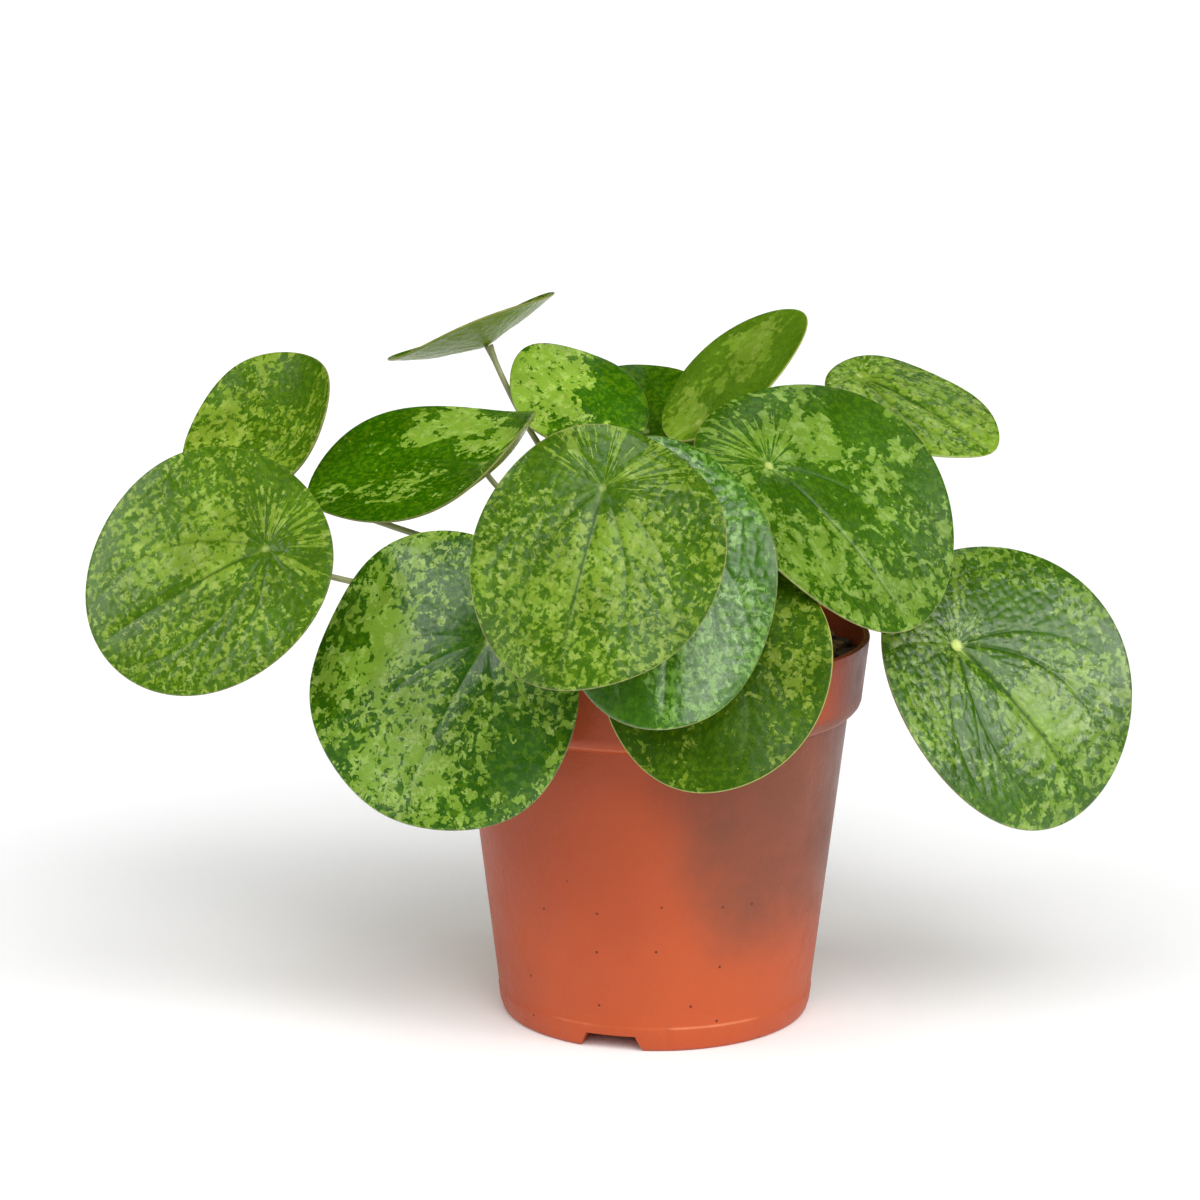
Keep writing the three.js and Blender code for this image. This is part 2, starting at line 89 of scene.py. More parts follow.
LEAVES = {
    "left": dict(
        at=(-106, -35, 140), facing=-12, lift=34, roll=-50, length=72, width=70, base=0.26, side=-5,
        arch=-24, fold=-2, wave=1, phase=105, node=112, rise=8),
    "back_left": dict(
        at=(-111, 35, 151), facing=-32, lift=47, roll=-147, length=53, width=50, base=0.21, side=1,
        cup=2, curl=6, curl_at=-90, wave=1.3, phase=79, node=113, rise=25),
    "upper_left": dict(
        at=(-49, 8, 156), facing=-52, lift=66, roll=-78, length=73, width=66, base=0.22, side=3,
        arch=10, fold=-2, curl=6, curl_at=180, wave=2.1, phase=201, node=118, rise=45),
    "front_left": dict(
        at=(-46, -52, 118), facing=-26, lift=23, roll=-44, length=76, width=87, base=0.27, side=-1,
        arch=-4, fold=-30, wave=1.4, waves=5, phase=234, node=108, rise=15),
    "front_centre": dict(
        at=(-15, -86, 166), facing=2, lift=28, roll=-32, length=71, width=63, base=0.26, side=8,
        arch=-26, fold=-4, wave=2.8, waves=4, phase=289, node=121, rise=68, swing=-35, reach=0.56, hook=0.4,
        droop=1),
    "front_inner": dict(
        at=(4, -66, 151), facing=8, lift=29, roll=-3, length=79, width=61, base=0.32, side=-4,
        arch=-14, fold=-14, wave=2.6, waves=4, phase=44, node=116, rise=38, reach=0.5, hook=0.3),
    "front_low": dict(
        at=(15, -63, 121), facing=-5, lift=31, roll=-9, length=67, width=61, base=0.38, side=1,
        arch=-18, fold=2, wave=1.2, waves=4, phase=2, node=108, rise=15),
    "front_right": dict(
        at=(30, -33, 162.5), facing=29, lift=49, roll=23, length=82, width=74, base=0.29, side=9,
        arch=-32, fold=-2, wave=2.8, waves=2, phase=255, node=121, rise=60),
    "right": dict(
        at=(83, -19, 109.5), facing=27, lift=32, roll=16, length=83, width=79, base=0.31, side=10,
        arch=-23, fold=-4, wave=2.8, waves=2, phase=278, node=110, rise=50, reach=0.5, hook=0.4, droop=0.6),
    "back_right": dict(
        at=(60, 55, 174), facing=20, lift=66, roll=36, length=55, width=43, base=0.13, side=-2,
        arch=-10, fold=-14, wave=0.6, waves=4, phase=218, node=119, rise=40),
    "top_right": dict(
        at=(12, 30, 164), facing=-49, lift=46, roll=162, length=53, width=39, base=0.17, side=3,
        curl=3, curl_at=-90, wave=0.5, phase=208, node=125, rise=60),
    "top_left": dict(
        at=(-19, 42, 160), facing=8, lift=51, roll=212, length=46, width=37, base=0.25, side=-5,
        fold=-14, wave=1.3, phase=48, node=123, rise=50, swing=-12, hook=0.12),
    "top_middle": dict(
        at=(-2, 68, 155), facing=0, lift=55, roll=180, length=44, width=41,
        fold=-10, wave=1.7, phase=285, node=118, rise=40),
    "top_far_left": dict(
        at=(-49, 60, 183), facing=-107, lift=67, roll=-25, length=51, width=55, base=0.35, side=-3,
        cup=6, wave=0.6, node=120, rise=40, reach=0.4, hook=0.4),
    "rear_right": dict(
        at=(50, 72, 128), facing=140, lift=30, roll=0, length=58, width=56,
        arch=-14, fold=-12, wave=1.2, phase=100, node=111, rise=30),
    "rear_middle": dict(
        at=(2, 100, 110), facing=176, lift=18, roll=0, length=66, width=60,
        arch=-12, fold=-14, wave=1.2, waves=4, phase=220, node=111, rise=34),
    "rear_left": dict(
        at=(-30, 80, 126), facing=-160, lift=35, roll=0, length=50, width=46,
        arch=-10, fold=-10, wave=1, phase=10, node=114, rise=25, swing=6),
    "rear_side": dict(
        at=(66, 44, 122), facing=110, lift=28, roll=0, length=48, width=46,
        arch=-10, fold=-10, wave=1, phase=300, node=114, rise=20, swing=-8),
    "young_front": dict(
        at=(2, -13, 151), facing=5, lift=50, roll=0, length=20, width=18,
        cup=2, wave=0.4, phase=0, node=128, rise=70),
    "young_back": dict(
        at=(-8, 14, 150), facing=-150, lift=45, roll=0, length=17, width=15,
        cup=2, wave=0.3, phase=90, node=128, rise=75),
    "young_side": dict(
        at=(14, 4, 146), facing=100, lift=40, roll=0, length=15, width=13,
        cup=2, wave=0.3, phase=180, node=127, rise=70),
}

# Each leaf's marbling.
# cut: how much must rise to be pale, so more is darker. bold: how far broad blotches outweigh the mottling.
# fine, grain: how much that mottling counts, and how small it is. calm: draws the tones together.
# warm: from bluish to yellowish. glow: brightness. shine: how glossy. rays: streaks behind the stalk.
# dusk: a dark patch round the stalk. navel: the pale spot over it. veins: how deep they lie.
# veer: how far the midrib swings to one side, in degrees. puff: how far the fields between the veins swell.
# rim: from a browned margin line at 0 to a straw-coloured one at 1.
# patches: (along, across, radius, push) of paler or darker places, in millimetres from the stalk; a few paler
# ones are painted sheen.
USUAL_MARBLING = {
    "seed": 0, "cut": 0.5, "bold": 0.5, "fine": 1.0, "grain": 0.38, "calm": 0.0, "warm": 0.0, "glow": 1.0,
    "shine": 0.4, "rays": 0.3, "dusk": 0.0, "navel": 0.2, "veins": 0.6, "veer": 0, "puff": 0.6, "rim": 0.2,
    "patches": (),
}

YOUNG_MARBLING = dict(fine=0.6, calm=0.4, warm=0.6, glow=1.1, veins=0.4, puff=0.3, rim=0.6)

MARBLING = {
    "left": dict(
        seed=3, cut=0.52, bold=0.25, grain=0.5, calm=0.26, warm=0.25, glow=0.88, shine=0.35, rays=1.4,
        dusk=0.2, navel=0.25, veins=0.9, veer=-4,
        patches=((10, -9, 11, 0.12), (28, -18, 9, 0.06), (-6, 13, 9, -0.1), (-9, -18, 8, -0.1),
                 (3, 24, 9, -0.04))),
    "back_left": dict(
        seed=8, cut=0.52, grain=0.42, calm=0.2, warm=0.35, glow=0.92, shine=0.3, veins=0.25, puff=0.4,
        patches=((27, -13, 9, -0.16), (20, 14, 10, 0.1))),
    "upper_left": dict(
        seed=12, cut=0.67, bold=0.3, fine=1.1, grain=0.3, glow=1.05, shine=0.3, rays=0.9, veins=0.3, puff=0.2,
        patches=((27, -17, 10, 0.3), (16, -18, 9, 0.3), (7, -9, 8, 0.24), (-9, -12, 9, 0.18),
                 (33, -7, 6, 0.14), (18, 14, 13, 0.16), (38, 26, 8, 0.16))),
    # Its paler patches towards its left edge are a painted sheen over light flecks that it has there.
    "front_left": dict(
        seed=21, fine=1.2, glow=0.9, dusk=0.28, shine=0.5, veins=0.35, veer=33, puff=0.35,
        patches=((29, -22, 14, 0.16), (31, -32, 4, -0.5), (8, -37, 9, 0.08), (38, 4, 15, 0.08),
                 (36, 22, 10, 0.1), (4, -4, 12, -0.14), (12, 32, 9, -0.35))),
    "front_centre": dict(
        seed=34, cut=0.51, bold=0.3, grain=0.5, calm=0.2, warm=0.2, glow=0.83, shine=0.36, rays=1.8,
        dusk=0.24, veins=1.0, veer=15, puff=0.8, rim=0.4,
        patches=((22, 12, 14, 0.08), (5, 14, 7, 0.1), (-8, -6, 13, -0.1), (2, -14, 9, -0.1))),
    "front_inner": dict(
        seed=45, bold=0.3, grain=0.5, calm=0.2, warm=-0.5, glow=1.1, shine=0.75, veins=0.8, puff=1.0, rim=0.3,
        patches=((46, -18, 9, -0.3), (8, 24, 8, -0.12))),
    "front_low": dict(
        seed=52, cut=0.59, bold=0.4, grain=0.4, calm=0.15, warm=0.3, glow=0.72, shine=0.25, veins=0.2,
        puff=0.4, rim=0.8, patches=((-1, 22, 12, 0.07), (12, 29, 8, 0.05), (26, 8, 12, -0.07))),
    "front_right": dict(
        seed=63, bold=0.6, grain=0.25, calm=0.16, warm=-0.1, glow=0.87, rays=1.2, navel=0.5, veins=0.7,
        veer=-6, puff=0.2, rim=0.4,
        patches=((2, 37, 9, -0.25), (5, -18, 8, 0.14), (1, 20, 8, 0.16), (-11, -8, 8, 0.06),
                 (27, -16, 10, 0.08), (38, 8, 9, 0.05), (50, 7, 7, 0.1), (16, 10, 8, -0.16),
                 (26, 42, 9, -0.12), (24, 26, 8, 0.06), (8, -4, 6, -0.2))),
    # The pale patch between its side veins, at (27, 14), is partly painted sheen and partly paler marbling.
    "right": dict(
        seed=77, fine=1.1, calm=0.15, glow=0.87, shine=0.6, navel=1.1, veins=1.3, veer=14, puff=0.75,
        patches=((24, -8, 7, -0.3), (42, -12, 6, -0.3), (2, 20, 13, -0.14), (33, -21, 5, -0.35),
                 (27, 14, 13, 0.12))),
    "back_right": dict(
        seed=81, cut=0.45, grain=0.42, calm=0.25, warm=0.2, glow=1.02, shine=0.8, navel=0.3, veins=1.3,
        puff=1.0, rim=0.5),
    "top_right": dict(
        seed=95, cut=0.66, bold=0.3, fine=0.8, grain=0.36, calm=0.5, warm=0.2, glow=0.92, shine=0.3,
        veins=0.15, puff=0.2, rim=0.6,
        patches=((26, 7, 9, 0.22), (33, 9, 6, 0.16), (1, 6, 8, 0.26), (-7, 6, 6, 0.26))),
    "top_left": dict(
        seed=103, bold=0.2, fine=0.9, grain=0.46, warm=0.1, glow=1.1, veins=0.2, puff=0.3,
        patches=((20, -2, 16, 0.13), (4, -16, 10, -0.45), (17, -19, 6, -0.3))),
    "top_middle": dict(seed=111, cut=0.72, fine=0.6, warm=0.3, glow=0.85, shine=0.3, veins=0.2, puff=0.3),
    "top_far_left": dict(seed=120, cut=0.53, calm=0.2, warm=0.4, shine=0.2),
    "rear_right": dict(seed=131, bold=1.2, fine=0.8, warm=0.1, rays=0.8, navel=0.7),
    "rear_middle": dict(seed=144, grain=0.46, calm=0.3, warm=0.2, rays=0.8, navel=0.5, puff=1.0),
    "rear_left": dict(seed=155, cut=0.56, bold=1.6, fine=0.7, rays=0.6, puff=0.5),
    "rear_side": dict(seed=162, grain=0.46, warm=0.3, rays=0.6, navel=0.5),
    "young_front": dict(YOUNG_MARBLING, seed=173),
    "young_back": dict(YOUNG_MARBLING, seed=188),
    "young_side": dict(YOUNG_MARBLING, seed=190, warm=0.7),
}


# ---------- small tools ----------

def tone(red, green, blue):
    """A colour given as it looks on a screen, from 0 to 255, as the linear colour that shaders take."""
    def linear(level):
        share = level / 255
        return share / 12.92 if share <= 0.04045 else ((share + 0.055) / 1.055) ** 2.4
    return linear(red), linear(green), linear(blue)


def unit(vector):
    return vector / np.linalg.norm(vector)


def smooth_step(value, low, high):
    share = np.clip((value - low) / (high - low), 0, 1)
    return share * share * (3 - 2 * share)


def add_piece(name, points, faces, material, slot, stands_for=()):
    """A smooth mesh piece from points in millimetres, riding on the plant."""
    mesh = bpy.data.meshes.new(name)
    mesh.from_pydata((np.asarray(points, float) * MM).tolist(), [], faces)
    mesh.materials.append(material)
    mesh.shade_smooth()
    return place(bpy.data.objects.new(name, mesh), stands_for)


def place(piece, stands_for=()):
    bpy.context.scene.collection.objects.link(piece)
    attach(piece, BODY)
    if stands_for:
        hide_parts(*stands_for)
    return piece


def keep_numbers(mesh, name, values):
    """Stores one number, or one vector, for each point of a mesh, for its material to read."""
    kind, key = ("FLOAT", "value") if values.ndim == 1 else ("FLOAT_VECTOR", "vector")
    layer = mesh.attributes.new(name, kind, "POINT")
    layer.data.foreach_set(key, values.astype(np.float32).ravel())


class Paint:
    """A material, with short names for the nodes that the finishes below are made of."""

    def __init__(self, name):
        self.material = bpy.data.materials.new(name)
        self.material.use_nodes = True
        self.tree = self.material.node_tree
        self.shader = self.tree.nodes["Principled BSDF"]

    def feed(self, socket, value):
        if isinstance(value, bpy.types.NodeSocket):
            self.tree.links.new(value, socket)
        elif isinstance(value, tuple) and socket.type == "RGBA" and len(value) == 3:
            socket.default_value = (*value, 1)
        else:
            socket.default_value = value

    def node(self, kind, inputs, **settings):
        made = self.tree.nodes.new(kind)
        for key, value in settings.items():
            setattr(made, key, value)
        for key, value in inputs.items():
            self.feed(made.inputs[key], value)
        return made

    def finish(self, **inputs):
        """Sets the shader's sockets, given by their names in small letters."""
        names = {socket.name.lower().replace(" ", "_"): socket for socket in self.shader.inputs}
        for key, value in inputs.items():
            self.feed(names[key], value)
        return self.material

    def stored(self, name, output="Fac"):
        """What keep_numbers stored on the mesh."""
        return self.node("ShaderNodeAttribute", {}, attribute_name=name).outputs[output]

    def where(self):
        """Places in the plant's own frame, in metres."""
        return self.node("ShaderNodeTexCoord", {}).outputs["Object"]

    def work_out(self, operation, first, second=0.0, clamp=False):
        made = self.node("ShaderNodeMath", {0: first, 1: second}, operation=operation, use_clamp=clamp)
        return made.outputs[0]

    def times(self, first, second):
        return self.work_out("MULTIPLY", first, second)

    def plus(self, first, second):
        return self.work_out("ADD", first, second)

    def minus(self, first, second):
        return self.work_out("SUBTRACT", first, second)

    def size(self, value):
        return self.work_out("ABSOLUTE", value)

    def vector(self, operation, first, second=(0, 0, 0)):
        made = self.node("ShaderNodeVectorMath", {0: first}, operation=operation)
        self.feed(made.inputs["Scale" if operation == "SCALE" else 1], second)
        return made.outputs["Value" if operation in ("LENGTH", "DOT_PRODUCT") else "Vector"]

    def rise(self, value, low, high, to_low=0.0, to_high=1.0):
        """Goes smoothly from to_low to to_high as value goes from low to high."""
        inputs = {"Value": value, "From Min": low, "From Max": high, "To Min": to_low, "To Max": to_high}
        return self.node("ShaderNodeMapRange", inputs, interpolation_type="SMOOTHSTEP").outputs[0]

    def mix(self, share, first, second):
        """A colour between two, by the mix node's inputs and output for colours."""
        return self.node("ShaderNodeMix", {0: share, 6: first, 7: second}, data_type="RGBA").outputs[2]

    def noise(self, where, scale, detail=3.0, roughness=0.55, distortion=0.0):
        inputs = {"Vector": where, "Scale": scale, "Detail": detail, "Roughness": roughness,
                  "Distortion": distortion}
        return self.node("ShaderNodeTexNoise", inputs).outputs[0]

    def cells(self, where, scale, feature="F1"):
        inputs = {"Vector": where, "Scale": scale}
        return self.node("ShaderNodeTexVoronoi", inputs, feature=feature).outputs["Distance"]

    def bump(self, height, strength, distance, under=None):
        inputs = {"Height": height, "Strength": strength, "Distance": distance}
        if under is not None:
            inputs["Normal"] = under
        return self.node("ShaderNodeBump", inputs).outputs[0]


# ---------- settings ----------

def length(name, description, default):
    return FloatProperty(name=name, description=description, default=default * MM, unit="LENGTH", precision=5)


def colour(name, description, default):
    return FloatVectorProperty(
        name=name, description=description, default=default, size=3, min=0, max=1, subtype="COLOR")


def strength(name, light, default):
    return FloatProperty(name=name, description=f"Strength of the {light}", default=default, min=0)


class PileaPotSettings(bpy.types.PropertyGroup):
    """Sizes and colours of the nursery pot"""

    height: length("Height", "From the base to the top of the rim", 109)
    rim_radius: length("Rim radius", "Outer radius at the top of the rim", 60)
    band: length("Rim band", "Height of the stiffening band round the rim", 17)
    band_low_radius: length("Band foot radius", "Outer radius at the bottom of the band", 58)
    shoulder: length("Shoulder", "Height of the round step under the band", 5)
    body_top_radius: length("Body top radius", "Outer radius under the shoulder", 54.2)
    base_radius: length("Base radius", "Outer radius of the base", 43.7)
    wall: length("Wall", "Thickness of the wall", 1.1)
    lip: length("Lip", "Thickness of the rim's top edge", 1.8)
    foot: length("Foot", "Height of the slightly thicker foot", 7)
    edge: length("Edge rounding", "Radius of the moulded edges", 0.5)
    plastic: colour("Plastic", "Colour of the plastic", tone(178, 78, 38))
    deep: colour("Deep plastic", "Darker colour in the plastic's clouds", tone(166, 70, 34))
    # Also the colour of the painted highlight along the shoulder
    scuff_and_highlight: colour("Scuffs", "Colour of the worn edges", tone(224, 142, 104))
    # Dust with a painted shadow of the leaves in it, for the patch on the body's front right
    dust_and_shadow: colour("Dust", "Colour of the dust film", tone(120, 66, 46))


class PileaBladeSettings(bpy.types.PropertyGroup):
    """Relief and colours of the leaf blades"""

    thickness: length("Thickness", "Thickness of a blade", 0.72)
    step: length("Detail", "Distance between the points of a blade's mesh", 0.85)
    vein: length("Vein depth", "Depth of the main veins' grooves at the stalk", 0.45)
    valley: length("Valley depth", "Depth of the wide valleys that the main veins lie in", 0.5)
    puff: length("Puff", "How far the fields between the veins swell", 0.3)
    quilt: length("Quilting", "Height of the small cells in those fields", 0.22)
    dark: colour("Dark green", "The leaf's own green", tone(42, 88, 0))
    middle: colour("Middle green", "Mottling in the dark green", tone(74, 114, 2))
    light: colour("Light green", "The marbling", tone(118, 152, 46))
    pale: colour("Pale green", "The palest marbling", tone(146, 174, 82))
    under: colour("Underside", "The underside's green", tone(132, 154, 50))
    navel: colour("Navel", "The spot over the stalk", tone(196, 210, 118))
    rim_dark: colour("Dark margin", "A margin line that has browned", tone(96, 78, 62))
    rim_pale: colour("Straw margin", "A fresh margin line", tone(206, 202, 118))


class PileaStalkSettings(bpy.types.PropertyGroup):
    """Sizes and colours of the leaf stalks and the woody stem"""

    foot_radius: length("Foot radius", "Radius of a stalk where it leaves the stem", 1.7)
    radius: length("Radius", "Radius of a stalk in its lower half", 1.15)
    neck_radius: length("Neck radius", "Radius of a stalk under the blade", 0.85)
    green: colour("Stalk green", "Colour of the stalks", tone(150, 154, 108))
    brown: colour("Stalk brown", "Tint at the foot of the stalks", tone(150, 128, 100))
    bark: colour("Bark", "Colour of the woody stem", tone(112, 88, 62))
    scar: colour("Scars", "Colour of the leaf scars on the stem", tone(158, 136, 100))


class PileaSoilSettings(bpy.types.PropertyGroup):
    """The potting mix"""

    crumbs: IntProperty(name="Crumbs", description="How many crumbs of peat lie on top", default=900, min=0)
    chips: IntProperty(name="Bark chips", description="How many chips of bark lie on top", default=110, min=0)
    peat: colour("Peat", "Colour of the peat", tone(86, 66, 50))
    bark: colour("Chips", "Colour of the bark chips", tone(140, 108, 70))
    moss: colour("Moss", "Colour of the moss", tone(110, 112, 56))


class PileaStageSettings(bpy.types.PropertyGroup):
    """Floor, light and camera"""

    floor: colour("Floor", "Colour of the floor", (0.99, 0.99, 0.995))
    sky: strength("Sky", "light from all round", 0.24)
    right: strength("Right softbox", "right softbox", 0.6)
    window: strength("Window", "wide window light", 1.5)
    left: strength("Left softbox", "left softbox", 0.7)
    back: strength("Back light", "small light behind", 0.1)
    front: strength("Front fill", "soft fill in front", 1.8)
    lens: FloatProperty(name="Lens", description="Focal length in millimetres", default=108, min=1)


# ---------- leaves: form ----------

def leaf_rows():
    """Each place with its whole row: form, stalk and marbling."""
    for place_name, row in LEAVES.items():
        yield place_name, {**USUAL_LEAF, **row, **USUAL_MARBLING, **MARBLING[place_name]}


def blade_ways(leaf):
    """Unit vectors of a blade: towards its tip, across it, and out of its upper face."""
    facing, lift, roll = (math.radians(leaf[key]) for key in ("facing", "lift", "roll"))
    out = np.array([
        math.cos(lift) * math.sin(facing), -math.cos(lift) * math.cos(facing), math.sin(lift)])
    down = np.array([
        math.sin(lift) * math.sin(facing), -math.sin(lift) * math.cos(facing), -math.cos(lift)])
    level = np.array([math.cos(facing), math.sin(facing), 0])
    tip = down * math.cos(roll) + level * math.sin(roll)
    across = level * math.cos(roll) - down * math.sin(roll)
    return tip, across, out


def flat_place(leaf, ring, angle):
    """Where a point of the blade lies from the stalk if the blade is pressed flat."""
    middle = leaf["length"] * (0.5 - leaf["base"])
    along = ring * (middle + leaf["length"] / 2 * np.cos(angle))
    across = ring * (leaf["side"] + leaf["width"] / 2 * np.sin(angle) * (1 + EGG * np.cos(angle)))
    return along, across


def bent(distance, curvature):
    """A distance bent round an arc: how far along it reaches, and how far it rises."""
    if abs(curvature) < 1e-9:
        return distance, np.zeros_like(distance)
    return np.sin(curvature * distance) / curvature, (1 - np.cos(curvature * distance)) / curvature


def blade_surface(leaf, ring, angle):
    """Points of a blade's middle surface, without its relief."""
    half_length, half_width = leaf["length"] / 2, leaf["width"] / 2
    middle = leaf["length"] * (0.5 - leaf["base"])
    along, across = flat_place(leaf, ring, angle)
    dish = ((along - middle) / half_length) ** 2 + ((across - leaf["side"]) / half_width) ** 2
    dish_at_stalk = (middle / half_length) ** 2 + (leaf["side"] / half_width) ** 2
    turned_up = (np.maximum(0, (ring - CURL_START) / (1 - CURL_START)) ** 2
                 * np.maximum(0, np.cos(angle - math.radians(leaf["curl_at"]))) ** 2)
    flat_along, arch_rise = bent(along, math.radians(leaf["arch"]) / leaf["length"])
    flat_across, fold_rise = bent(across, math.radians(leaf["fold"]) / leaf["width"])
    height = (leaf["cup"] * (dish - dish_at_stalk) + leaf["curl"] * turned_up
              + leaf["wave"] * ring ** 3 * np.sin(leaf["waves"] * angle + math.radians(leaf["phase"]))
              - NAVEL_DEPTH * np.exp(-(along ** 2 + across ** 2) / NAVEL_RADIUS ** 2)
              + arch_rise + fold_rise)
    tip, over, out = blade_ways(leaf)
    return (np.array(leaf["at"], float) + flat_along[..., None] * tip
            + flat_across[..., None] * over + height[..., None] * out)


# ---------- leaves: veins and quilting ----------

VEIN_REACH = 9.0  # how far from a vein its relief is worked out
MAIN_VEIN_DEPTH = 0.4  # veins deeper than this lie in a wide valley
VALLEY_WIDTH = 3.2
RIDGE_WIDTH = 0.7
SWELL_REACH = 2.4  # how far from a vein the field beside it comes near its full height
CELL_SIZE = 3.4
SMALL_CELL_SIZE = 1.9
CREASED_FROM = 0.4  # blades that puff up more than this have creases between their cells


def arc(start, control, end, steps):
    """Points of a curve that leaves start towards control and comes to end from it."""
    share = np.linspace(0, 1, steps + 1)[:, None]
    start, control, end = (np.asarray(point, float) for point in (start, control, end))
    return start * (1 - share) ** 2 + 2 * control * share * (1 - share) + end * share ** 2


def vein_lines(leaf, draw):
    """The veins of a blade pressed flat: (points, depth, width), with depths as shares of the midrib's."""
    def edge(degrees, share):
        along, across = flat_place(leaf, share, np.array(math.radians(leaf["veer"] + degrees)))
        return np.array([float(along), float(across)])

    stalk = np.zeros(2)
    midrib_steps, inner_steps, outer_steps = 14, 16, 12
    midrib = arc(stalk, edge(draw.uniform(-5, 5), 0.5), edge(0, 0.97), midrib_steps)
    lines = [(midrib, 1.0, 1.0)]
    for hand in (-1, 1):
        inner_control = edge(hand * (64 + draw.uniform(-6, 6)), 0.68)
        inner = arc(stalk, inner_control, edge(hand * 22, 0.93), inner_steps)
        outer_control = edge(hand * (98 + draw.uniform(-6, 6)), 0.74)
        outer = arc(stalk, outer_control, edge(hand * 56, 0.95), outer_steps)
        lines.append((inner, 0.5, 0.9))
        lines.append((outer, 0.34, 0.8))
        for degrees in (118, 142, 166):
            spread = degrees + draw.uniform(-5, 5)
            side_vein = arc(stalk, edge(hand * (spread + 8), 0.5), edge(hand * spread, 0.93), 7)
            lines.append((side_vein, 0.14, 0.7))
        for share in np.arange(0.2, 0.92, 0.12):
            first = midrib[round(share * midrib_steps)]
            second = inner[min(inner_steps, round((share + 0.1) * inner_steps))]
            bulge = (first + second) / 2 + 0.05 * leaf["length"] * unit(midrib[-1] - midrib[0])
            lines.append((arc(first, bulge, second, 5), 0.24, 0.55))
        for share in np.arange(0.28, 0.95, 0.13):
            first = inner[round(share * inner_steps)]
            target = edge(hand * (74 - 60 * share + draw.uniform(-4, 4)), 0.95)
            lines.append((arc(first, (first + target) / 2 + 0.04 * target, target, 5), 0.22, 0.55))
        for share in np.arange(0.3, 0.95, 0.16):
            first = outer[round(share * outer_steps)]
            target = edge(hand * (106 - 44 * share + draw.uniform(-4, 4)), 0.95)
            lines.append((arc(first, (first + target) / 2, target, 4), 0.14, 0.5))
    return lines


def near_line(x, y, line):
    """Distance from each point to a line, and how far along it the nearest place is, from 0 to 1."""
    best = np.full(x.shape, 1e9)
    share = np.zeros(x.shape)
    count = len(line) - 1
    for index in range(count):
        start, way = line[index], line[index + 1] - line[index]
        reach = np.clip(((x - start[0]) * way[0] + (y - start[1]) * way[1]) / (way @ way), 0, 1)
        distance = np.hypot(x - start[0] - reach * way[0], y - start[1] - reach * way[1])
        closer = distance < best
        best[closer] = distance[closer]
        share[closer] = (index + reach[closer]) / count
    return best, share


def vein_relief(x, y, lines):
    """What the veins do to flat places.

    Gives shares of the grooves' depth, of the midrib's ridge and of the valleys, and how far any vein is.
    """
    groove, ridge, valley = np.zeros(x.shape), np.zeros(x.shape), np.zeros(x.shape)
    nearest = np.full(x.shape, 1e9)
    from_stalk = np.hypot(x, y)
    for line, depth, width in lines:
        low, high = line.min(0) - VEIN_REACH, line.max(0) + VEIN_REACH
        inside = (x > low[0]) & (x < high[0]) & (y > low[1]) & (y < high[1])
        distance, share = near_line(x[inside], y[inside], line)
        wide = width * (0.5 + 0.5 * np.exp(-from_stalk[inside] / 9))
        shape = np.exp(-(distance / wide) ** 2)
        fade = depth * (1 - 0.55 * share) * smooth_step(1.02 - share, 0, 0.12)
        groove[inside] = np.maximum(groove[inside], fade * shape)
        nearest[inside] = np.minimum(nearest[inside], distance + 2.8 * (1 - depth))
        main_depth = depth if depth > MAIN_VEIN_DEPTH else 0
        sunk = main_depth * np.exp(-(distance / VALLEY_WIDTH) ** 2) * smooth_step(from_stalk[inside], 0, 6)
        valley[inside] = np.maximum(valley[inside], sunk * np.exp(-from_stalk[inside] / 13))
        if depth == 1:
            ridge[inside] = np.exp(-(distance / RIDGE_WIDTH) ** 2) * smooth_step(from_stalk[inside], 8, 2)
    return groove, ridge, valley, nearest


def scatter(column, row, seed):
    """A number from 0 to 1 for each cell of a grid, always the same for the same seed."""
    return np.modf(np.abs(np.sin(column * 127.1 + row * 311.7 + seed * 74.7) * 43758.5453))[0]


def soft_noise(x, y, size, seed):
    """Smooth hills about so many millimetres wide, from -0.5 to 0.5."""
    column, row = np.floor(x / size), np.floor(y / size)
    right, up = smooth_step(x / size - column, 0, 1), smooth_step(y / size - row, 0, 1)
    low = scatter(column, row, seed) * (1 - right) + scatter(column + 1, row, seed) * right
    high = scatter(column, row + 1, seed) * (1 - right) + scatter(column + 1, row + 1, seed) * right
    return low * (1 - up) + high * up - 0.5


def patch_field(x, y, leaf):
    """How much paler or darker each flat place is for the leaf's patches, which have ragged edges."""
    ragged = sum(
        height * soft_noise(x, y, size, leaf["seed"] + step)
        for height, size, step in ((9, 6.5, 0), (6, 2.7, 3), (4, 1.3, 5)))
    total = np.zeros(x.shape)
    for along, across, radius, push in leaf["patches"]:
        distance = (np.hypot(x - along, y - across) + ragged) / radius
        total += push * smooth_step(distance, 1.2, 0.8)
    return total


def cell_relief(x, y, size, seed):
    """Rounded cells that fill the plane: 0 in the furrows between them, 1 at their middles."""
    column, row = np.floor(x / size), np.floor(y / size)
    first, second = np.full(x.shape, 1e9), np.full(x.shape, 1e9)
    for right in (-1, 0, 1):
        for up in (-1, 0, 1):
            spot_x = column + right + 0.15 + 0.7 * scatter(column + right, row + up, seed)
            spot_y = row + up + 0.15 + 0.7 * scatter(column + right, row + up, seed + 0.5)
            distance = np.hypot(x / size - spot_x, y / size - spot_y)
            second = np.minimum(second, np.maximum(first, distance))
            first = np.minimum(first, distance)
    return smooth_step(second - first, 0, 0.45)


# ---------- leaves: blades ----------

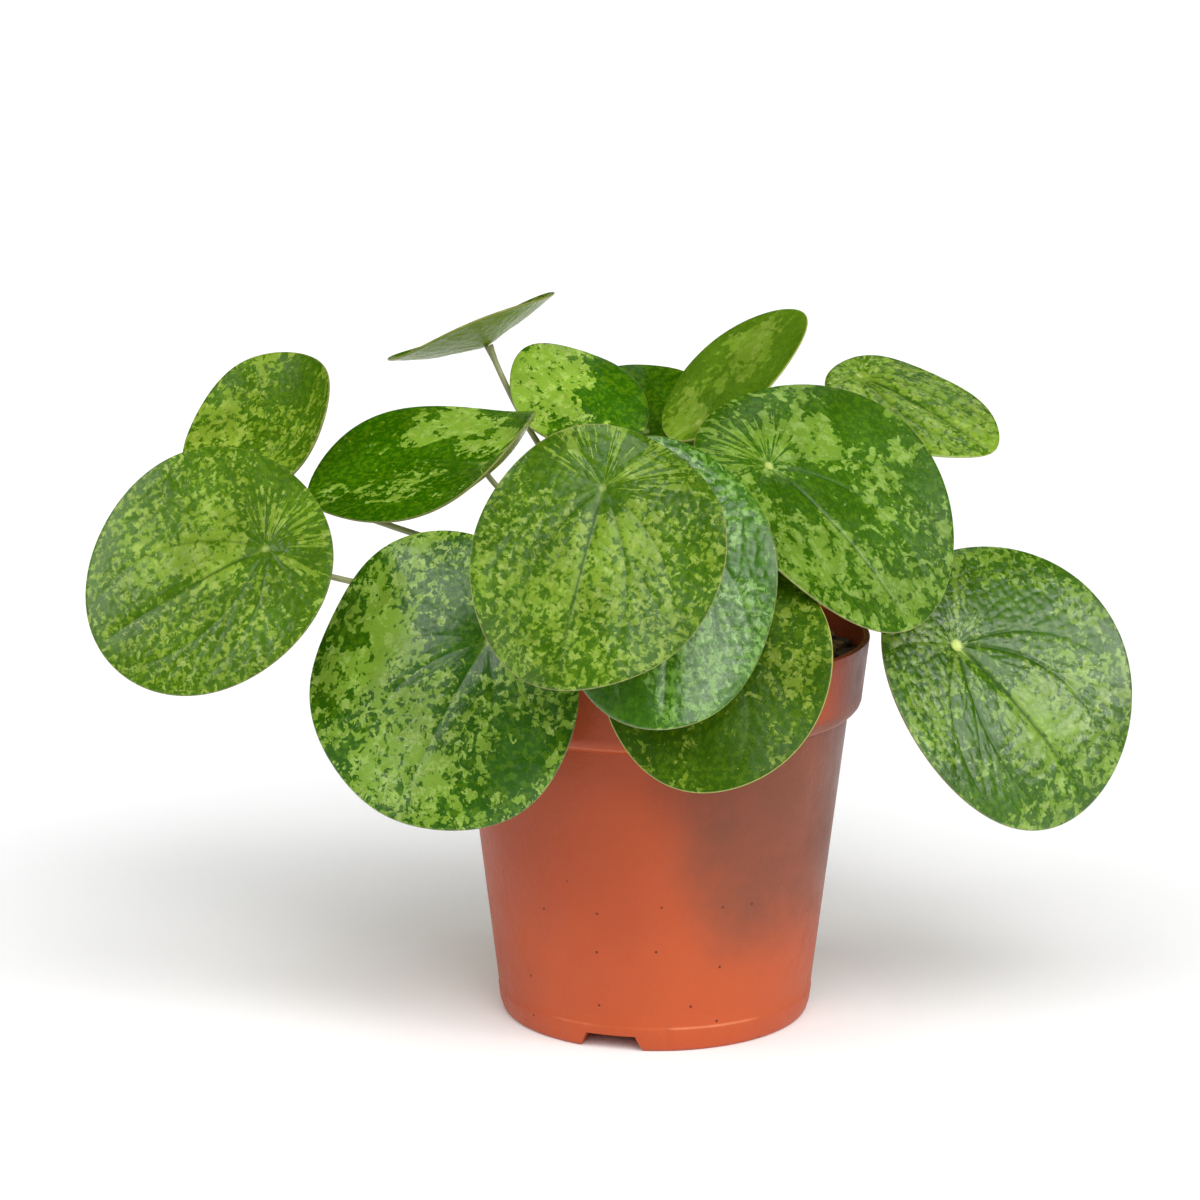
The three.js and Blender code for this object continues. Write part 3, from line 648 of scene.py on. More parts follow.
def grid_faces(rows, columns, first, flip):
    """Quads between rows of a closed ring of columns, each row's points following the last's."""
    faces = []
    for row in range(rows - 1):
        for column in range(columns):
            low = first + row * columns
            next_column = (column + 1) % columns
            quad = (low + column, low + columns + column, low + columns + next_column, low + next_column)
            faces.append(quad[::-1] if flip else quad)
    return faces


def fan_faces(centre, columns, first, flip):
    faces = []
    for column in range(columns):
        triangle = (centre, first + column, first + (column + 1) % columns)
        faces.append(triangle[::-1] if flip else triangle)
    return faces


def surface_normals(points, out):
    """Normals of a grid of rings round a middle point, which is its first row."""
    outward = np.gradient(points, axis=0)
    around = np.roll(points, -1, axis=1) - np.roll(points, 1, axis=1)
    normals = np.cross(outward, around)
    sizes = np.linalg.norm(normals, axis=2, keepdims=True)
    normals = np.where(sizes > 1e-9, normals / np.maximum(sizes, 1e-9), out)
    normals[0] = out
    return normals


def blade_rings(leaf, half_thickness, step):
    """Ring shares from the stalk to the margin, and the half thickness at each, which rounds the margin."""
    reach = leaf["length"] * (1 - leaf["base"])
    inner = max(14, round(reach / step))
    margin = 1.6 * half_thickness / (leaf["width"] / 2)
    flat_part = np.linspace(0, 1 - margin, inner)
    turn = np.radians([30, 60, 90])
    rings = np.concatenate([flat_part, 1 - margin * (1 - np.sin(turn))])
    halves = half_thickness * np.concatenate([np.ones(inner), np.cos(turn)])
    return rings, halves


def blade_faces(rows, columns):
    """Faces of a closed blade: its upper side, its underside and the strip that joins them at the margin."""
    lower_first = 1 + (rows - 1) * columns
    faces = fan_faces(0, columns, 1, False) + grid_faces(rows - 1, columns, 1, False)
    faces += fan_faces(lower_first, columns, lower_first + 1, True)
    faces += grid_faces(rows - 2, columns, lower_first + 1, True)
    last_lower = lower_first + 1 + (rows - 3) * columns
    margin_row = 1 + (rows - 2) * columns
    for column in range(columns):
        after = (column + 1) % columns
        faces.append((margin_row + column, last_lower + column, last_lower + after, margin_row + after))
    return faces


def blade_relief(leaf, settings, ring, along, across):
    """How far a blade's surface rises and sinks, its ridge, and the painted shade of its vein grooves and
    creases.
    """
    lines = vein_lines(leaf, random.Random(leaf["seed"]))
    groove, ridge, valley, nearest = vein_relief(along, across, lines)
    fading = 1 - smooth_step(ring, 0.88, 1.0)
    growth = min(1.0, leaf["length"] / 60)
    swell = 1 - np.exp(-(nearest / SWELL_REACH) ** 2)
    cells = cell_relief(along, across, CELL_SIZE, leaf["seed"])
    quilting = cells + 0.5 * cell_relief(along, across, SMALL_CELL_SIZE, leaf["seed"] + 9)
    relief = fading * growth * (
        -settings.vein / MM * leaf["veins"] * groove
        - settings.valley / MM * leaf["veins"] * valley
        + settings.puff / MM * leaf["puff"] * swell
        + settings.quilt / MM * leaf["puff"] * quilting * swell)
    # Painted shade: the creases between the cells are darkened in the skin.
    crease_shade = 0.5 * min(1.0, max(0.0, leaf["puff"] - CREASED_FROM)) * (1 - cells) ** 3
    return relief, ridge, np.maximum(leaf["veins"] * groove, crease_shade)


def add_blade(place_name, leaf, settings):
    """A blade with its veins, swollen fields and rounded margin, in place of its plain solid."""
    step = settings.step / MM
    rings, halves = blade_rings(leaf, settings.thickness / MM / 2, step)
    columns = 8 * max(8, round(math.pi * (leaf["length"] + leaf["width"]) / 2 / step / 8))
    ring, angle = np.meshgrid(rings, np.arange(columns) * 2 * math.pi / columns, indexing="ij")
    along, across = flat_place(leaf, ring, angle)
    relief, ridge, lines = blade_relief(leaf, settings, ring, along, across)
    out = blade_ways(leaf)[2]
    surface = blade_surface(leaf, ring, angle)
    surface = surface + relief[..., None] * surface_normals(surface, out)
    normals = surface_normals(surface, out)
    upper = surface + normals * halves[:, None, None]
    lower = surface - normals * halves[:, None, None]
    points = np.concatenate([
        upper[0, :1], upper[1:].reshape(-1, 3), lower[0, :1], lower[1:-1].reshape(-1, 3)])

    name = f"leaf_{place_name}_blade"
    skin = marbled(f"marbled_{place_name}", leaf, settings)
    piece = add_piece(f"{name}_dressed", points, blade_faces(len(rings), columns), skin, "blade", [name])

    def both(values):
        """The values of the upper side's points and then those of the underside's."""
        return np.concatenate([
            values[0, :1], values[1:].ravel(), values[0, :1], values[1:-1].ravel()])

    underside = np.arange(len(points)) > (len(rings) - 1) * columns
    seed_height = np.full(len(points), leaf["seed"] * 7.3)
    keep_numbers(piece.data, "flat", np.stack([both(along), both(across), seed_height], axis=1))
    keep_numbers(piece.data, "ridge", both(ridge))
    # Painted shade in the skin: how dark the vein grooves and the creases between cells are.
    keep_numbers(piece.data, "groove", both(lines))
    keep_numbers(piece.data, "patch", both(patch_field(along, across, leaf)))
    keep_numbers(piece.data, "rim", both((1 - ring) * np.hypot(*flat_place(leaf, 1.0, angle))))
    keep_numbers(piece.data, "underside", underside)
    return piece


def warmed(shade, warm):
    """A green turned towards yellow, or towards blue below zero."""
    red, green, blue = shade
    return (red * (1 + 0.45 * warm), green * (1 + 0.1 * warm), max(0.0, blue * (1 - 0.55 * warm)))


def centred(paint, field, weight):
    """A field from 0 to 1, moved to lie about 0 and weighted."""
    return paint.times(paint.minus(field, 0.5), weight)


def marbling(paint, leaf, flat, from_stalk, ray):
    """How near each place comes to being pale, and the fine crumbs in it.

    Blotches and streaks spread from the stalk, over mottling that is the same all over the blade.
    """
    seeded = (leaf["seed"] * 3.1, leaf["seed"] * 1.7, 0)
    widening = paint.times(paint.work_out("LOGARITHM", paint.plus(from_stalk, 5.0), math.e), 1.7)
    outward = paint.node("ShaderNodeCombineXYZ", {"Z": widening}).outputs[0]
    polar = paint.vector("ADD", paint.vector("ADD", paint.vector("SCALE", ray, 4.2), outward), seeded)
    blotches = paint.noise(polar, 1.0, detail=5.0, roughness=0.62)
    along_ray = paint.node("ShaderNodeCombineXYZ", {"Z": paint.times(from_stalk, 0.07)}).outputs[0]
    streaked = paint.vector("ADD", paint.vector("ADD", paint.vector("SCALE", ray, 9.0), along_ray), seeded)
    streaks = paint.noise(streaked, 1.0, detail=3.0, roughness=0.6)
    mottling = paint.noise(flat, leaf["grain"], detail=4.0, roughness=0.68, distortion=0.6)

    veer = math.radians(leaf["veer"])
    towards_base = (-math.cos(veer), -math.sin(veer), 0)
    behind = paint.rise(paint.vector("DOT_PRODUCT", ray, towards_base), -0.3, 0.5)
    fan = paint.times(paint.times(behind, paint.rise(from_stalk, 30.0, 8.0)), 2.2 * leaf["rays"])
    dusk = paint.times(paint.rise(from_stalk, 9.0, 2.0), -leaf["dusk"])
    crumbs = paint.times(paint.minus(0.45, paint.cells(flat, 0.9)), 0.12 * leaf["fine"])
    lobes = paint.times(paint.minus(0.45, paint.cells(flat, 0.42)), 0.16)
    amount = paint.plus(centred(paint, mottling, leaf["fine"]), 0.5)
    for part in (centred(paint, blotches, leaf["bold"]), centred(paint, streaks, fan), dusk, crumbs, lobes,
                 paint.stored("patch")):
        amount = paint.plus(amount, part)
    return amount, crumbs


def marbled_greens(paint, leaf, flat, greens, light_share, crumbs):
    """Two mottled dark greens and two pale ones, drawn together on calm leaves and clouded."""
    dark, middle, light, pale = greens
    middle_share = paint.rise(paint.plus(paint.noise(flat, 0.55, 4.0, 0.65), crumbs), 0.47, 0.56, 0.0, 0.8)
    pale_share = paint.rise(paint.plus(paint.noise(flat, 0.25, 4.0, 0.7), crumbs), 0.5, 0.6, 0.0, 0.9)
    skin = paint.mix(middle_share, dark, middle)
    skin = paint.mix(light_share, skin, paint.mix(pale_share, light, pale))
    between_tone = tuple(0.55 * first + 0.45 * second for first, second in zip(middle, light))
    skin = paint.mix(leaf["calm"], skin, between_tone)
    clouds = paint.rise(
        paint.noise(flat, 0.06, 3.0, 0.6), 0.3, 0.7, 0.84 * leaf["glow"], 1.12 * leaf["glow"])
    return paint.vector("SCALE", skin, clouds)


def veined(paint, leaf, skin, from_stalk, greens, navel_colour):
    """The skin with painted shade in the vein grooves and creases, a pale ridge on the midrib and the navel's
    spot.
    """
    dark, pale = greens[0], greens[-1]
    navel = leaf["navel"]
    # Painted shade: the skin darkens in the vein grooves and in the creases between cells.
    groove = paint.times(paint.stored("groove"), paint.rise(from_stalk, 2.0, 6.0))
    groove_shade = tuple(0.7 * part for part in dark)
    skin = paint.mix(paint.work_out("MULTIPLY", groove, 1.1, True), skin, groove_shade)
    skin = paint.mix(paint.times(paint.stored("ridge"), min(0.8, navel)), skin, pale)
    spot = paint.rise(from_stalk, 1.3 + 0.9 * navel, 0.6 + 0.4 * navel, 0.0, min(1.0, 1.2 * navel))
    return paint.mix(spot, skin, navel_colour)


def backed(paint, leaf, skin, light_share, settings):
    """The skin with the paler underside and the margin's line."""
    under = paint.mix(paint.times(light_share, 0.45), tuple(settings.under), tuple(settings.pale))
    skin = paint.mix(paint.stored("underside"), skin, under)
    rim_colour = tuple(
        dark_part + (pale_part - dark_part) * leaf["rim"]
        for dark_part, pale_part in zip(settings.rim_dark, settings.rim_pale))
    return paint.mix(paint.rise(paint.stored("rim"), 0.34, 0.1, 0.0, 0.6), skin, rim_colour)


def marbled(name, leaf, settings):
    """A blade's skin: marbled greens, painted shade in the vein grooves, the navel's spot, a paler underside
    and the margin.
    """
    paint = Paint(name)
    flat = paint.stored("flat", "Vector")
    level = paint.vector("MULTIPLY", flat, (1, 1, 0))
    from_stalk = paint.vector("LENGTH", level)
    amount, crumbs = marbling(paint, leaf, flat, from_stalk, paint.vector("NORMALIZE", level))
    soft = 0.016 + 0.1 * leaf["calm"]
    light_share = paint.rise(amount, leaf["cut"] - soft, leaf["cut"] + soft)
    greens = [
        warmed(tuple(shade), leaf["warm"])
        for shade in (settings.dark, settings.middle, settings.light, settings.pale)]
    skin = marbled_greens(paint, leaf, flat, greens, light_share, crumbs)
    skin = veined(paint, leaf, skin, from_stalk, greens, tuple(settings.navel))
    skin = backed(paint, leaf, skin, light_share, settings)

    pores = paint.cells(flat, 1.6, feature="DISTANCE_TO_EDGE")
    fine = paint.bump(paint.rise(pores, 0.0, 0.25), 0.15, 0.00012)
    uneven = paint.bump(paint.noise(flat, 0.45, 3.0, 0.6), 0.08 + 0.08 * leaf["puff"], 0.0006, fine)
    gloss = paint.rise(paint.noise(flat, 0.12, 3.0, 0.6), 0.3, 0.7, 0.22, 0.32)
    return paint.finish(
        base_color=skin, roughness=gloss, normal=uneven, subsurface_weight=0.3,
        subsurface_scale=0.0012, subsurface_radius=(0.6, 1.0, 0.1), specular_ior_level=leaf["shine"])


# ---------- stalks and stem ----------

def stalk_line(leaf, steps):
    """Points along a stalk's middle, from inside the stem to inside the blade."""
    x, y, _ = leaf["at"]
    heading = math.atan2(x, -y) + math.radians(leaf["swing"])
    rise = math.radians(leaf["rise"])
    way = np.array([math.sin(heading), -math.cos(heading), 0])
    first = way * math.cos(rise) + np.array([0, 0, math.sin(rise)])
    start = np.array([0, 0, leaf["node"]]) + way * (STEM_RADIUS + GAP + STALK_RADIUS * math.sin(rise))
    out = blade_ways(leaf)[2]
    last = unit(out - np.array([0, 0, leaf["droop"]]))
    slant = math.sqrt(max(0.0, 1 - float(last @ out) ** 2))
    navel = blade_surface(leaf, np.zeros(1), np.zeros(1))[0]
    end = navel - out * (BLADE_THICKNESS / 2 + GAP + STALK_RADIUS * slant)
    span = np.linalg.norm(end - start)
    turn_1, turn_2 = start + first * leaf["reach"] * span, end - last * leaf["hook"] * span
    share = np.linspace(0, 1, steps)[:, None]
    line = (start * (1 - share) ** 3 + 3 * turn_1 * share * (1 - share) ** 2
            + 3 * turn_2 * share ** 2 * (1 - share) + end * share ** 3)
    return np.concatenate([[start - first * 1.6], line])


def tube(line, radii, sides, groove=0.0):
    """Points and faces of a closed tube round a line, with a shallow groove along its upper side."""
    ways = np.gradient(line, axis=0)
    ways /= np.linalg.norm(ways, axis=1, keepdims=True)
    upper = np.array([0, 0, 1.0])
    points = []
    for spot, way, radius in zip(line, ways, radii):
        upper = unit(upper - (upper @ way) * way)
        aside = np.cross(way, upper)
        for side in range(sides):
            angle = side * 2 * math.pi / sides
            reach = radius * (1 - groove * max(0.0, math.cos(angle)) ** 6)
            points.append(spot + reach * (upper * math.cos(angle) - aside * math.sin(angle)))
    faces = [quad[::-1] for quad in grid_faces(len(line), sides, 0, False)]
    ends = len(points)
    points += [line[0], line[-1]]
    faces += fan_faces(ends, sides, 0, False)
    faces += fan_faces(ends + 1, sides, (len(line) - 1) * sides, True)
    return np.array(points), faces


def add_stalk(place_name, leaf, settings, material):
    """A stalk with a swollen foot and neck, in place of its plain solid."""
    steps, sides = 44, 14
    line = stalk_line(leaf, steps)
    share = np.linspace(0, 1, len(line))
    growth = min(1.0, 0.55 + leaf["length"] / 110)
    foot, radius, neck = (size / MM for size in (settings.foot_radius, settings.radius, settings.neck_radius))
    radii = growth * (
        radius + (neck - radius) * smooth_step(share, 0.1, 0.9)
        + (foot - radius) * np.exp(-(share / 0.05) ** 2)
        + 0.55 * np.exp(-((1 - share) / 0.025) ** 2))
    points, faces = tube(line, radii, sides, 0.12)
    name = f"leaf_{place_name}_petiole"
    piece = add_piece(f"{name}_dressed", points, faces, material, "petiole", [name])
    keep_numbers(piece.data, "along", np.append(np.repeat(share, sides), [0, 1]))
    return piece


def stalk_skin(settings):
    """A stalk's skin: grey-green, streaked along its length and browner at its foot."""
    paint = Paint("stalk_skin")
    where = paint.where()
    along = paint.stored("along")
    streaks = paint.noise(where, 900.0, 3.0, 0.6)
    clouds = paint.noise(where, 120.0, 3.0, 0.6)
    green = tuple(settings.green)
    deeper = tuple(0.7 * part for part in green)
    skin = paint.mix(paint.rise(clouds, 0.35, 0.65), deeper, green)
    skin = paint.mix(paint.rise(streaks, 0.5, 0.72, 0.0, 0.35), skin, tuple(settings.brown))
    skin = paint.mix(paint.rise(along, 0.35, 0.0, 0.0, 0.75), skin, tuple(settings.brown))
    ridge = paint.bump(streaks, 0.3, 0.0002)
    gloss = paint.rise(clouds, 0.3, 0.7, 0.38, 0.52)
    return paint.finish(base_color=skin, roughness=gloss, normal=ridge, subsurface_weight=0.15,
                        subsurface_scale=0.001, subsurface_radius=(0.6, 1.0, 0.3))


def add_stem(settings):
    """The short woody stem, ringed with the scars of old leaves and closed by a bud."""
    sides, rows, leaf_scars = 72, 150, 26
    tip_length = 3
    height = np.linspace(STEM_ROOT, STEM_TOP, rows)
    angle = np.arange(sides) * 2 * math.pi / sides
    tall, turn = np.meshgrid(height, angle, indexing="ij")
    radius = STEM_RADIUS * (1 - 0.06 * (tall - STEM_ROOT) / (STEM_TOP - STEM_ROOT))
    scars = np.zeros(tall.shape)
    draw = random.Random(5)
    golden = math.radians(137.5)
    for index in range(leaf_scars):
        middle = SOIL_LEVEL - 12 + 1.5 * index
        at = index * golden + draw.uniform(-0.2, 0.2)
        apart = np.abs(np.angle(np.exp(1j * (turn - at)))) * STEM_RADIUS
        mark = np.exp(-((tall - middle) / 0.9) ** 2 - (apart / 2.2) ** 2)
        hollow = np.exp(-((tall - middle) / 0.45) ** 2 - (apart / 1.1) ** 2)
        scars = np.maximum(scars, mark)
        radius = radius + 0.42 * mark - 0.3 * hollow
    radius += 0.16 * (cell_relief(tall * 0.8, turn * STEM_RADIUS, 1.3, 3) - 0.5)
    tip = np.clip((tall - (STEM_TOP - tip_length)) / tip_length, 0, 1)
    radius *= np.sqrt(np.maximum(0.0, 1 - tip ** 2))
    points = np.stack([radius * np.cos(turn), radius * np.sin(turn), tall], axis=2).reshape(-1, 3)
    ends = len(points)
    points = np.concatenate([points, [[0, 0, STEM_ROOT], [0, 0, STEM_TOP]]])
    faces = [quad[::-1] for quad in grid_faces(rows, sides, 0, False)]
    faces += fan_faces(ends, sides, 0, True)
    faces += fan_faces(ends + 1, sides, (rows - 1) * sides, False)
    piece = add_piece("woody_stem_dressed", points, faces, stem_bark(settings), "stem", ["woody_stem"])
    keep_numbers(piece.data, "scar", np.append(scars.ravel(), [0, 0]))
    return piece


def stem_bark(settings):
    """Cork-like bark with paler scars."""
    paint = Paint("stem_bark")
    where = paint.where()
    grain = paint.noise(where, 700.0, 5.0, 0.65)
    bark = tuple(settings.bark)
    skin = paint.mix(paint.rise(grain, 0.35, 0.65), tuple(0.5 * part for part in bark), bark)
    skin = paint.mix(paint.stored("scar"), skin, tuple(settings.scar))
    return paint.finish(base_color=skin, roughness=paint.rise(grain, 0.3, 0.7, 0.65, 0.9),
                        normal=paint.bump(grain, 0.6, 0.0004))


# ---------- pot ----------

POT_SIZES = (
    "height", "rim_radius", "band", "band_low_radius", "shoulder", "body_top_radius", "base_radius", "wall",
    "lip", "foot", "edge")
POT_SIDES = 360
BASE_EDGE = 1.5  # radius of the rounding round the base
FOOT_RELIEF = 0.22  # how far the foot stands out from the body
SHOULDER_ROUNDNESS = 2.44
SHOULDER_HIGHLIGHT = 0.0885  # height of the painted highlight along the shoulder, in metres
PANEL_HALF_ANGLE = 20.5  # of the moulded panel round each drain notch

CHANNELS = 3
FIRST_CHANNEL = -17  # degrees from the front
CHANNEL_TOP_WIDTH = 14
CHANNEL_FOOT_WIDTH = 18
CHANNEL_HEIGHT = 4.5
CHANNEL_START = 18  # radius at which each one starts
DRAIN_HOLE_RADIUS = 3
DRAIN_HOLE_REACH = 33
DRAIN_HOLE_LENGTH = 20
CUT_PAST = 2  # how far a cut runs past the face that it opens


def turned(profile, pull=None):
    """Points and faces of a closed profile of (radius, height) turned round the pot's axis.

    pull gives how far each point moves outwards, from its turn and its height.
    """
    inner = profile[1:-1]
    angle = np.arange(POT_SIDES) * 2 * math.pi / POT_SIDES
    radius, turn = np.meshgrid([spot[0] for spot in inner], angle, indexing="ij")
    height = np.repeat([[spot[1]] for spot in inner], POT_SIDES, axis=1).astype(float)
    if pull is not None:
        radius = radius + pull(turn, height)
    points = np.stack([radius * np.cos(turn), radius * np.sin(turn), height], axis=2).reshape(-1, 3)
    ends = len(points)
    points = np.concatenate([points, [[0, 0, profile[0][1]], [0, 0, profile[-1][1]]]])
    faces = [quad[::-1] for quad in grid_faces(len(inner), POT_SIDES, 0, False)]
    faces += fan_faces(ends, POT_SIDES, 0, True)
    faces += fan_faces(ends + 1, POT_SIDES, (len(inner) - 1) * POT_SIDES, False)
    return points, faces


def rounded(middle, radius, start, stop, steps=5):
    """Points of a round edge, from one angle to another, in degrees from the outward way."""
    turns = np.radians(np.linspace(start, stop, steps))
    return [(middle[0] + radius * math.cos(turn), middle[1] + radius * math.sin(turn)) for turn in turns]


def channel_angles():
    """Where the drain channels run, in radians from +X round the axis."""
    return [math.radians(FIRST_CHANNEL - 90 + index * 360 / CHANNELS) for index in range(CHANNELS)]


def loose_mesh(name, points, faces):
    """An object that is cut or only cuts, and has no material, slot or body of its own yet."""
    mesh = bpy.data.meshes.new(name)
    mesh.from_pydata((np.asarray(points, float) * MM).tolist(), [], faces)
    made = bpy.data.objects.new(name, mesh)
    bpy.context.scene.collection.objects.link(made)
    return made


def add_prism(points, faces, low, high):
    """Adds a closed bar between two outlines with as many points each."""
    first, count = len(points), len(low)
    points += [*low, *high]
    faces.append([first + index for index in reversed(range(count))])
    faces.append([first + count + index for index in range(count)])
    for index in range(count):
        after = (index + 1) % count
        faces.append([first + index, first + after, first + count + after, first + count + index])


def channel_bars(grow, reach):
    """The drain channels as one bar each, in one mesh."""
    points, faces = [], []
    half, foot = CHANNEL_TOP_WIDTH / 2 + grow, CHANNEL_FOOT_WIDTH / 2 + grow
    top = CHANNEL_HEIGHT + grow
    outline = [(-foot, -CUT_PAST), (foot, -CUT_PAST), (foot, 0), (half, top), (-half, top), (-foot, 0)]
    for angle in channel_angles():
        away = np.array([math.cos(angle), math.sin(angle), 0])
        aside = np.array([-math.sin(angle), math.cos(angle), 0])
        ends = [
            [away * distance + aside * across + np.array([0, 0, up]) for across, up in outline]
            for distance in (CHANNEL_START - grow, reach)]
        add_prism(points, faces, *ends)
    return points, faces


def drain_rods():
    """The drain holes as one rod each, in one mesh."""
    points, faces = [], []
    sides, radius = 32, DRAIN_HOLE_RADIUS
    turns = [side * 2 * math.pi / sides for side in range(sides)]
    for angle in channel_angles():
        middle = DRAIN_HOLE_REACH * np.array([math.cos(angle), math.sin(angle), 0])
        ends = [
            [middle + np.array([radius * math.cos(turn), radius * math.sin(turn), height]) for turn in turns]
            for height in (-DRAIN_HOLE_LENGTH / 2, DRAIN_HOLE_LENGTH / 2)]
        add_prism(points, faces, *ends)
    return points, faces


def carve(piece, tool):
    """Cuts a tool out of a piece, and removes the tool."""
    cut = piece.modifiers.new("carve", "BOOLEAN")
    cut.operation = "DIFFERENCE"
    cut.object = tool
    cut.solver = "MANIFOLD"
    shape = bpy.data.meshes.new_from_object(piece.evaluated_get(bpy.context.evaluated_depsgraph_get()))
    piece.modifiers.clear()
    piece.data = shape
    bpy.data.objects.remove(tool)


def panel_seams(turn):
    """How much of a seam each place round the foot has, beside the panels round the drain notches."""
    seam = np.zeros(turn.shape)
    for angle in channel_angles():
        apart = np.degrees(np.abs(np.angle(np.exp(1j * (turn - angle)))))
        seam = np.maximum(seam, np.exp(-((apart - PANEL_HALF_ANGLE) / 0.8) ** 2))
    return seam


class PotForm:
    """The pot's sizes in millimetres, and the profiles that its outside and its hollow are turned from."""

    def __init__(self, settings):
        for size in POT_SIZES:
            setattr(self, size, getattr(settings, size) / MM)
        self.low_band = self.height - self.band
        self.low_shoulder = self.low_band - self.shoulder

    def body(self, up):
        """The body's outer radius at a height."""
        return self.base_radius + (self.body_top_radius - self.base_radius) * up / self.low_shoulder

    def shoulder_points(self, shares, inset=0):
        """The round step from the body out to the band."""
        step = self.band_low_radius - self.body_top_radius
        return [
            (self.body_top_radius + step * (1 - (1 - share) ** SHOULDER_ROUNDNESS) - inset,
             self.low_shoulder + self.shoulder * share)
            for share in shares]

    def outside(self):
        """Rounded at the base and the rim, with a fine step at the top of the foot."""
        straight = self.base_radius - BASE_EDGE
        flare = self.rim_radius - self.band_low_radius
        points = [(0, 0), (straight, 0), *rounded((straight, BASE_EDGE), BASE_EDGE, -70, -6)]
        points += [(self.body(up), up) for up in (3, 6, self.foot - 0.25, self.foot + 0.15)]
        points += [(self.body(up), up) for up in np.linspace(self.foot + 4, self.low_shoulder, 12)]
        points += self.shoulder_points((0.04, 0.1, 0.2, 0.35, 0.55, 0.8))
        points += [
            (self.band_low_radius + flare * share, self.low_band + self.band * share)
            for share in (0, 0.2, 0.5, 0.8)]
        points += rounded((self.rim_radius - self.edge - 0.05, self.height - self.edge), self.edge, 0, 90)
        return [*points, (0, self.height)]

    def hollow(self):
        """A wall's thickness inside the outside, and open past the rim."""
        straight = self.base_radius - self.wall - BASE_EDGE
        inner_rim = self.rim_radius - self.lip
        mouth = inner_rim + 0.35
        points = [(0, self.wall), (straight, self.wall)]
        points += rounded((straight, self.wall + BASE_EDGE), BASE_EDGE, -80, -6, 4)
        points += [(self.body(up) - self.wall, up) for up in np.linspace(6, self.low_shoulder, 10)]
        points += self.shoulder_points((0.15, 0.35, 0.6, 1.0), self.wall)
        points += [(inner_rim - 0.1, self.height - 0.8), (inner_rim, self.height - 0.3)]
        points += [(mouth, self.height + 0.02), (mouth, self.height + CUT_PAST)]
        return [*points, (0, self.height + CUT_PAST)]

    def foot_pull(self, turn, up):
        """How far the foot stands out, with a groove at each panel seam."""
        return FOOT_RELIEF * (up < self.foot) * (up > 1.6) * (1 - 2.6 * panel_seams(turn))


def add_pot(settings):
    """The pot: a thin moulded shell with a rim band, three drain channels and a hole over each."""
    form = PotForm(settings)
    hollow = loose_mesh("hollow", *turned(form.hollow()))
    carve(hollow, loose_mesh("channel_roofs", *channel_bars(form.wall, form.base_radius)))
    shell = loose_mesh("pot_shell", *turned(form.outside(), form.foot_pull))
    carve(shell, hollow)
    carve(shell, loose_mesh("channels", *channel_bars(0, form.base_radius + 10)))
    carve(shell, loose_mesh("drain_holes", *drain_rods()))
    bpy.context.scene.collection.objects.unlink(shell)
    shell.name = "pot_dressed"
    shell.data.name = "pot_dressed"
    shell.data.materials.clear()
    shell.data.materials.append(pot_plastic(settings))
    shell.data.shade_smooth()
    shell.data.set_sharp_from_angle(angle=math.radians(32))
    return place(shell, ["pot"])


def shadow_and_dust_patch(paint, parts, film):
    """A painted shadow of the leaves over a little dust, on the front right of the body, as a share."""
    drift = paint.times(paint.minus(film, 0.5), 0.02)
    side = paint.plus(paint.plus(parts["X"], drift), paint.times(parts["Z"], 0.25))
    right = paint.times(paint.rise(side, 0.012, 0.036), paint.rise(parts["Y"], 0.02, -0.01))
    upper = paint.rise(paint.plus(parts["Z"], drift), 0.018, 0.046)
    tall = paint.times(upper, paint.rise(parts["Z"], 0.094, 0.09))
    return paint.times(paint.times(right, tall), paint.rise(film, 0.2, 0.6, 0.7, 1.0))


def specks(paint, parts):
    """A few dark specks, mostly low on the body, as a share."""
    middle_radius = 0.048
    around = paint.times(paint.work_out("ARCTAN2", parts["X"], parts["Y"]), middle_radius)
    unrolled = paint.node("ShaderNodeCombineXYZ", {"X": around, "Y": parts["Z"]}).outputs[0]
    spots = paint.node(
        "ShaderNodeTexVoronoi", {"Vector": unrolled, "Scale": 120.0}, voronoi_dimensions="2D").outputs
    lot = paint.node("ShaderNodeSeparateColor", {"Color": spots["Color"]}).outputs[0]
    low = paint.times(paint.rise(lot, 0.86, 0.88), paint.rise(parts["Z"], 0.07, 0.03))
    return paint.times(paint.rise(spots["Distance"], 0.065, 0.03, 0.0, 0.85), low)


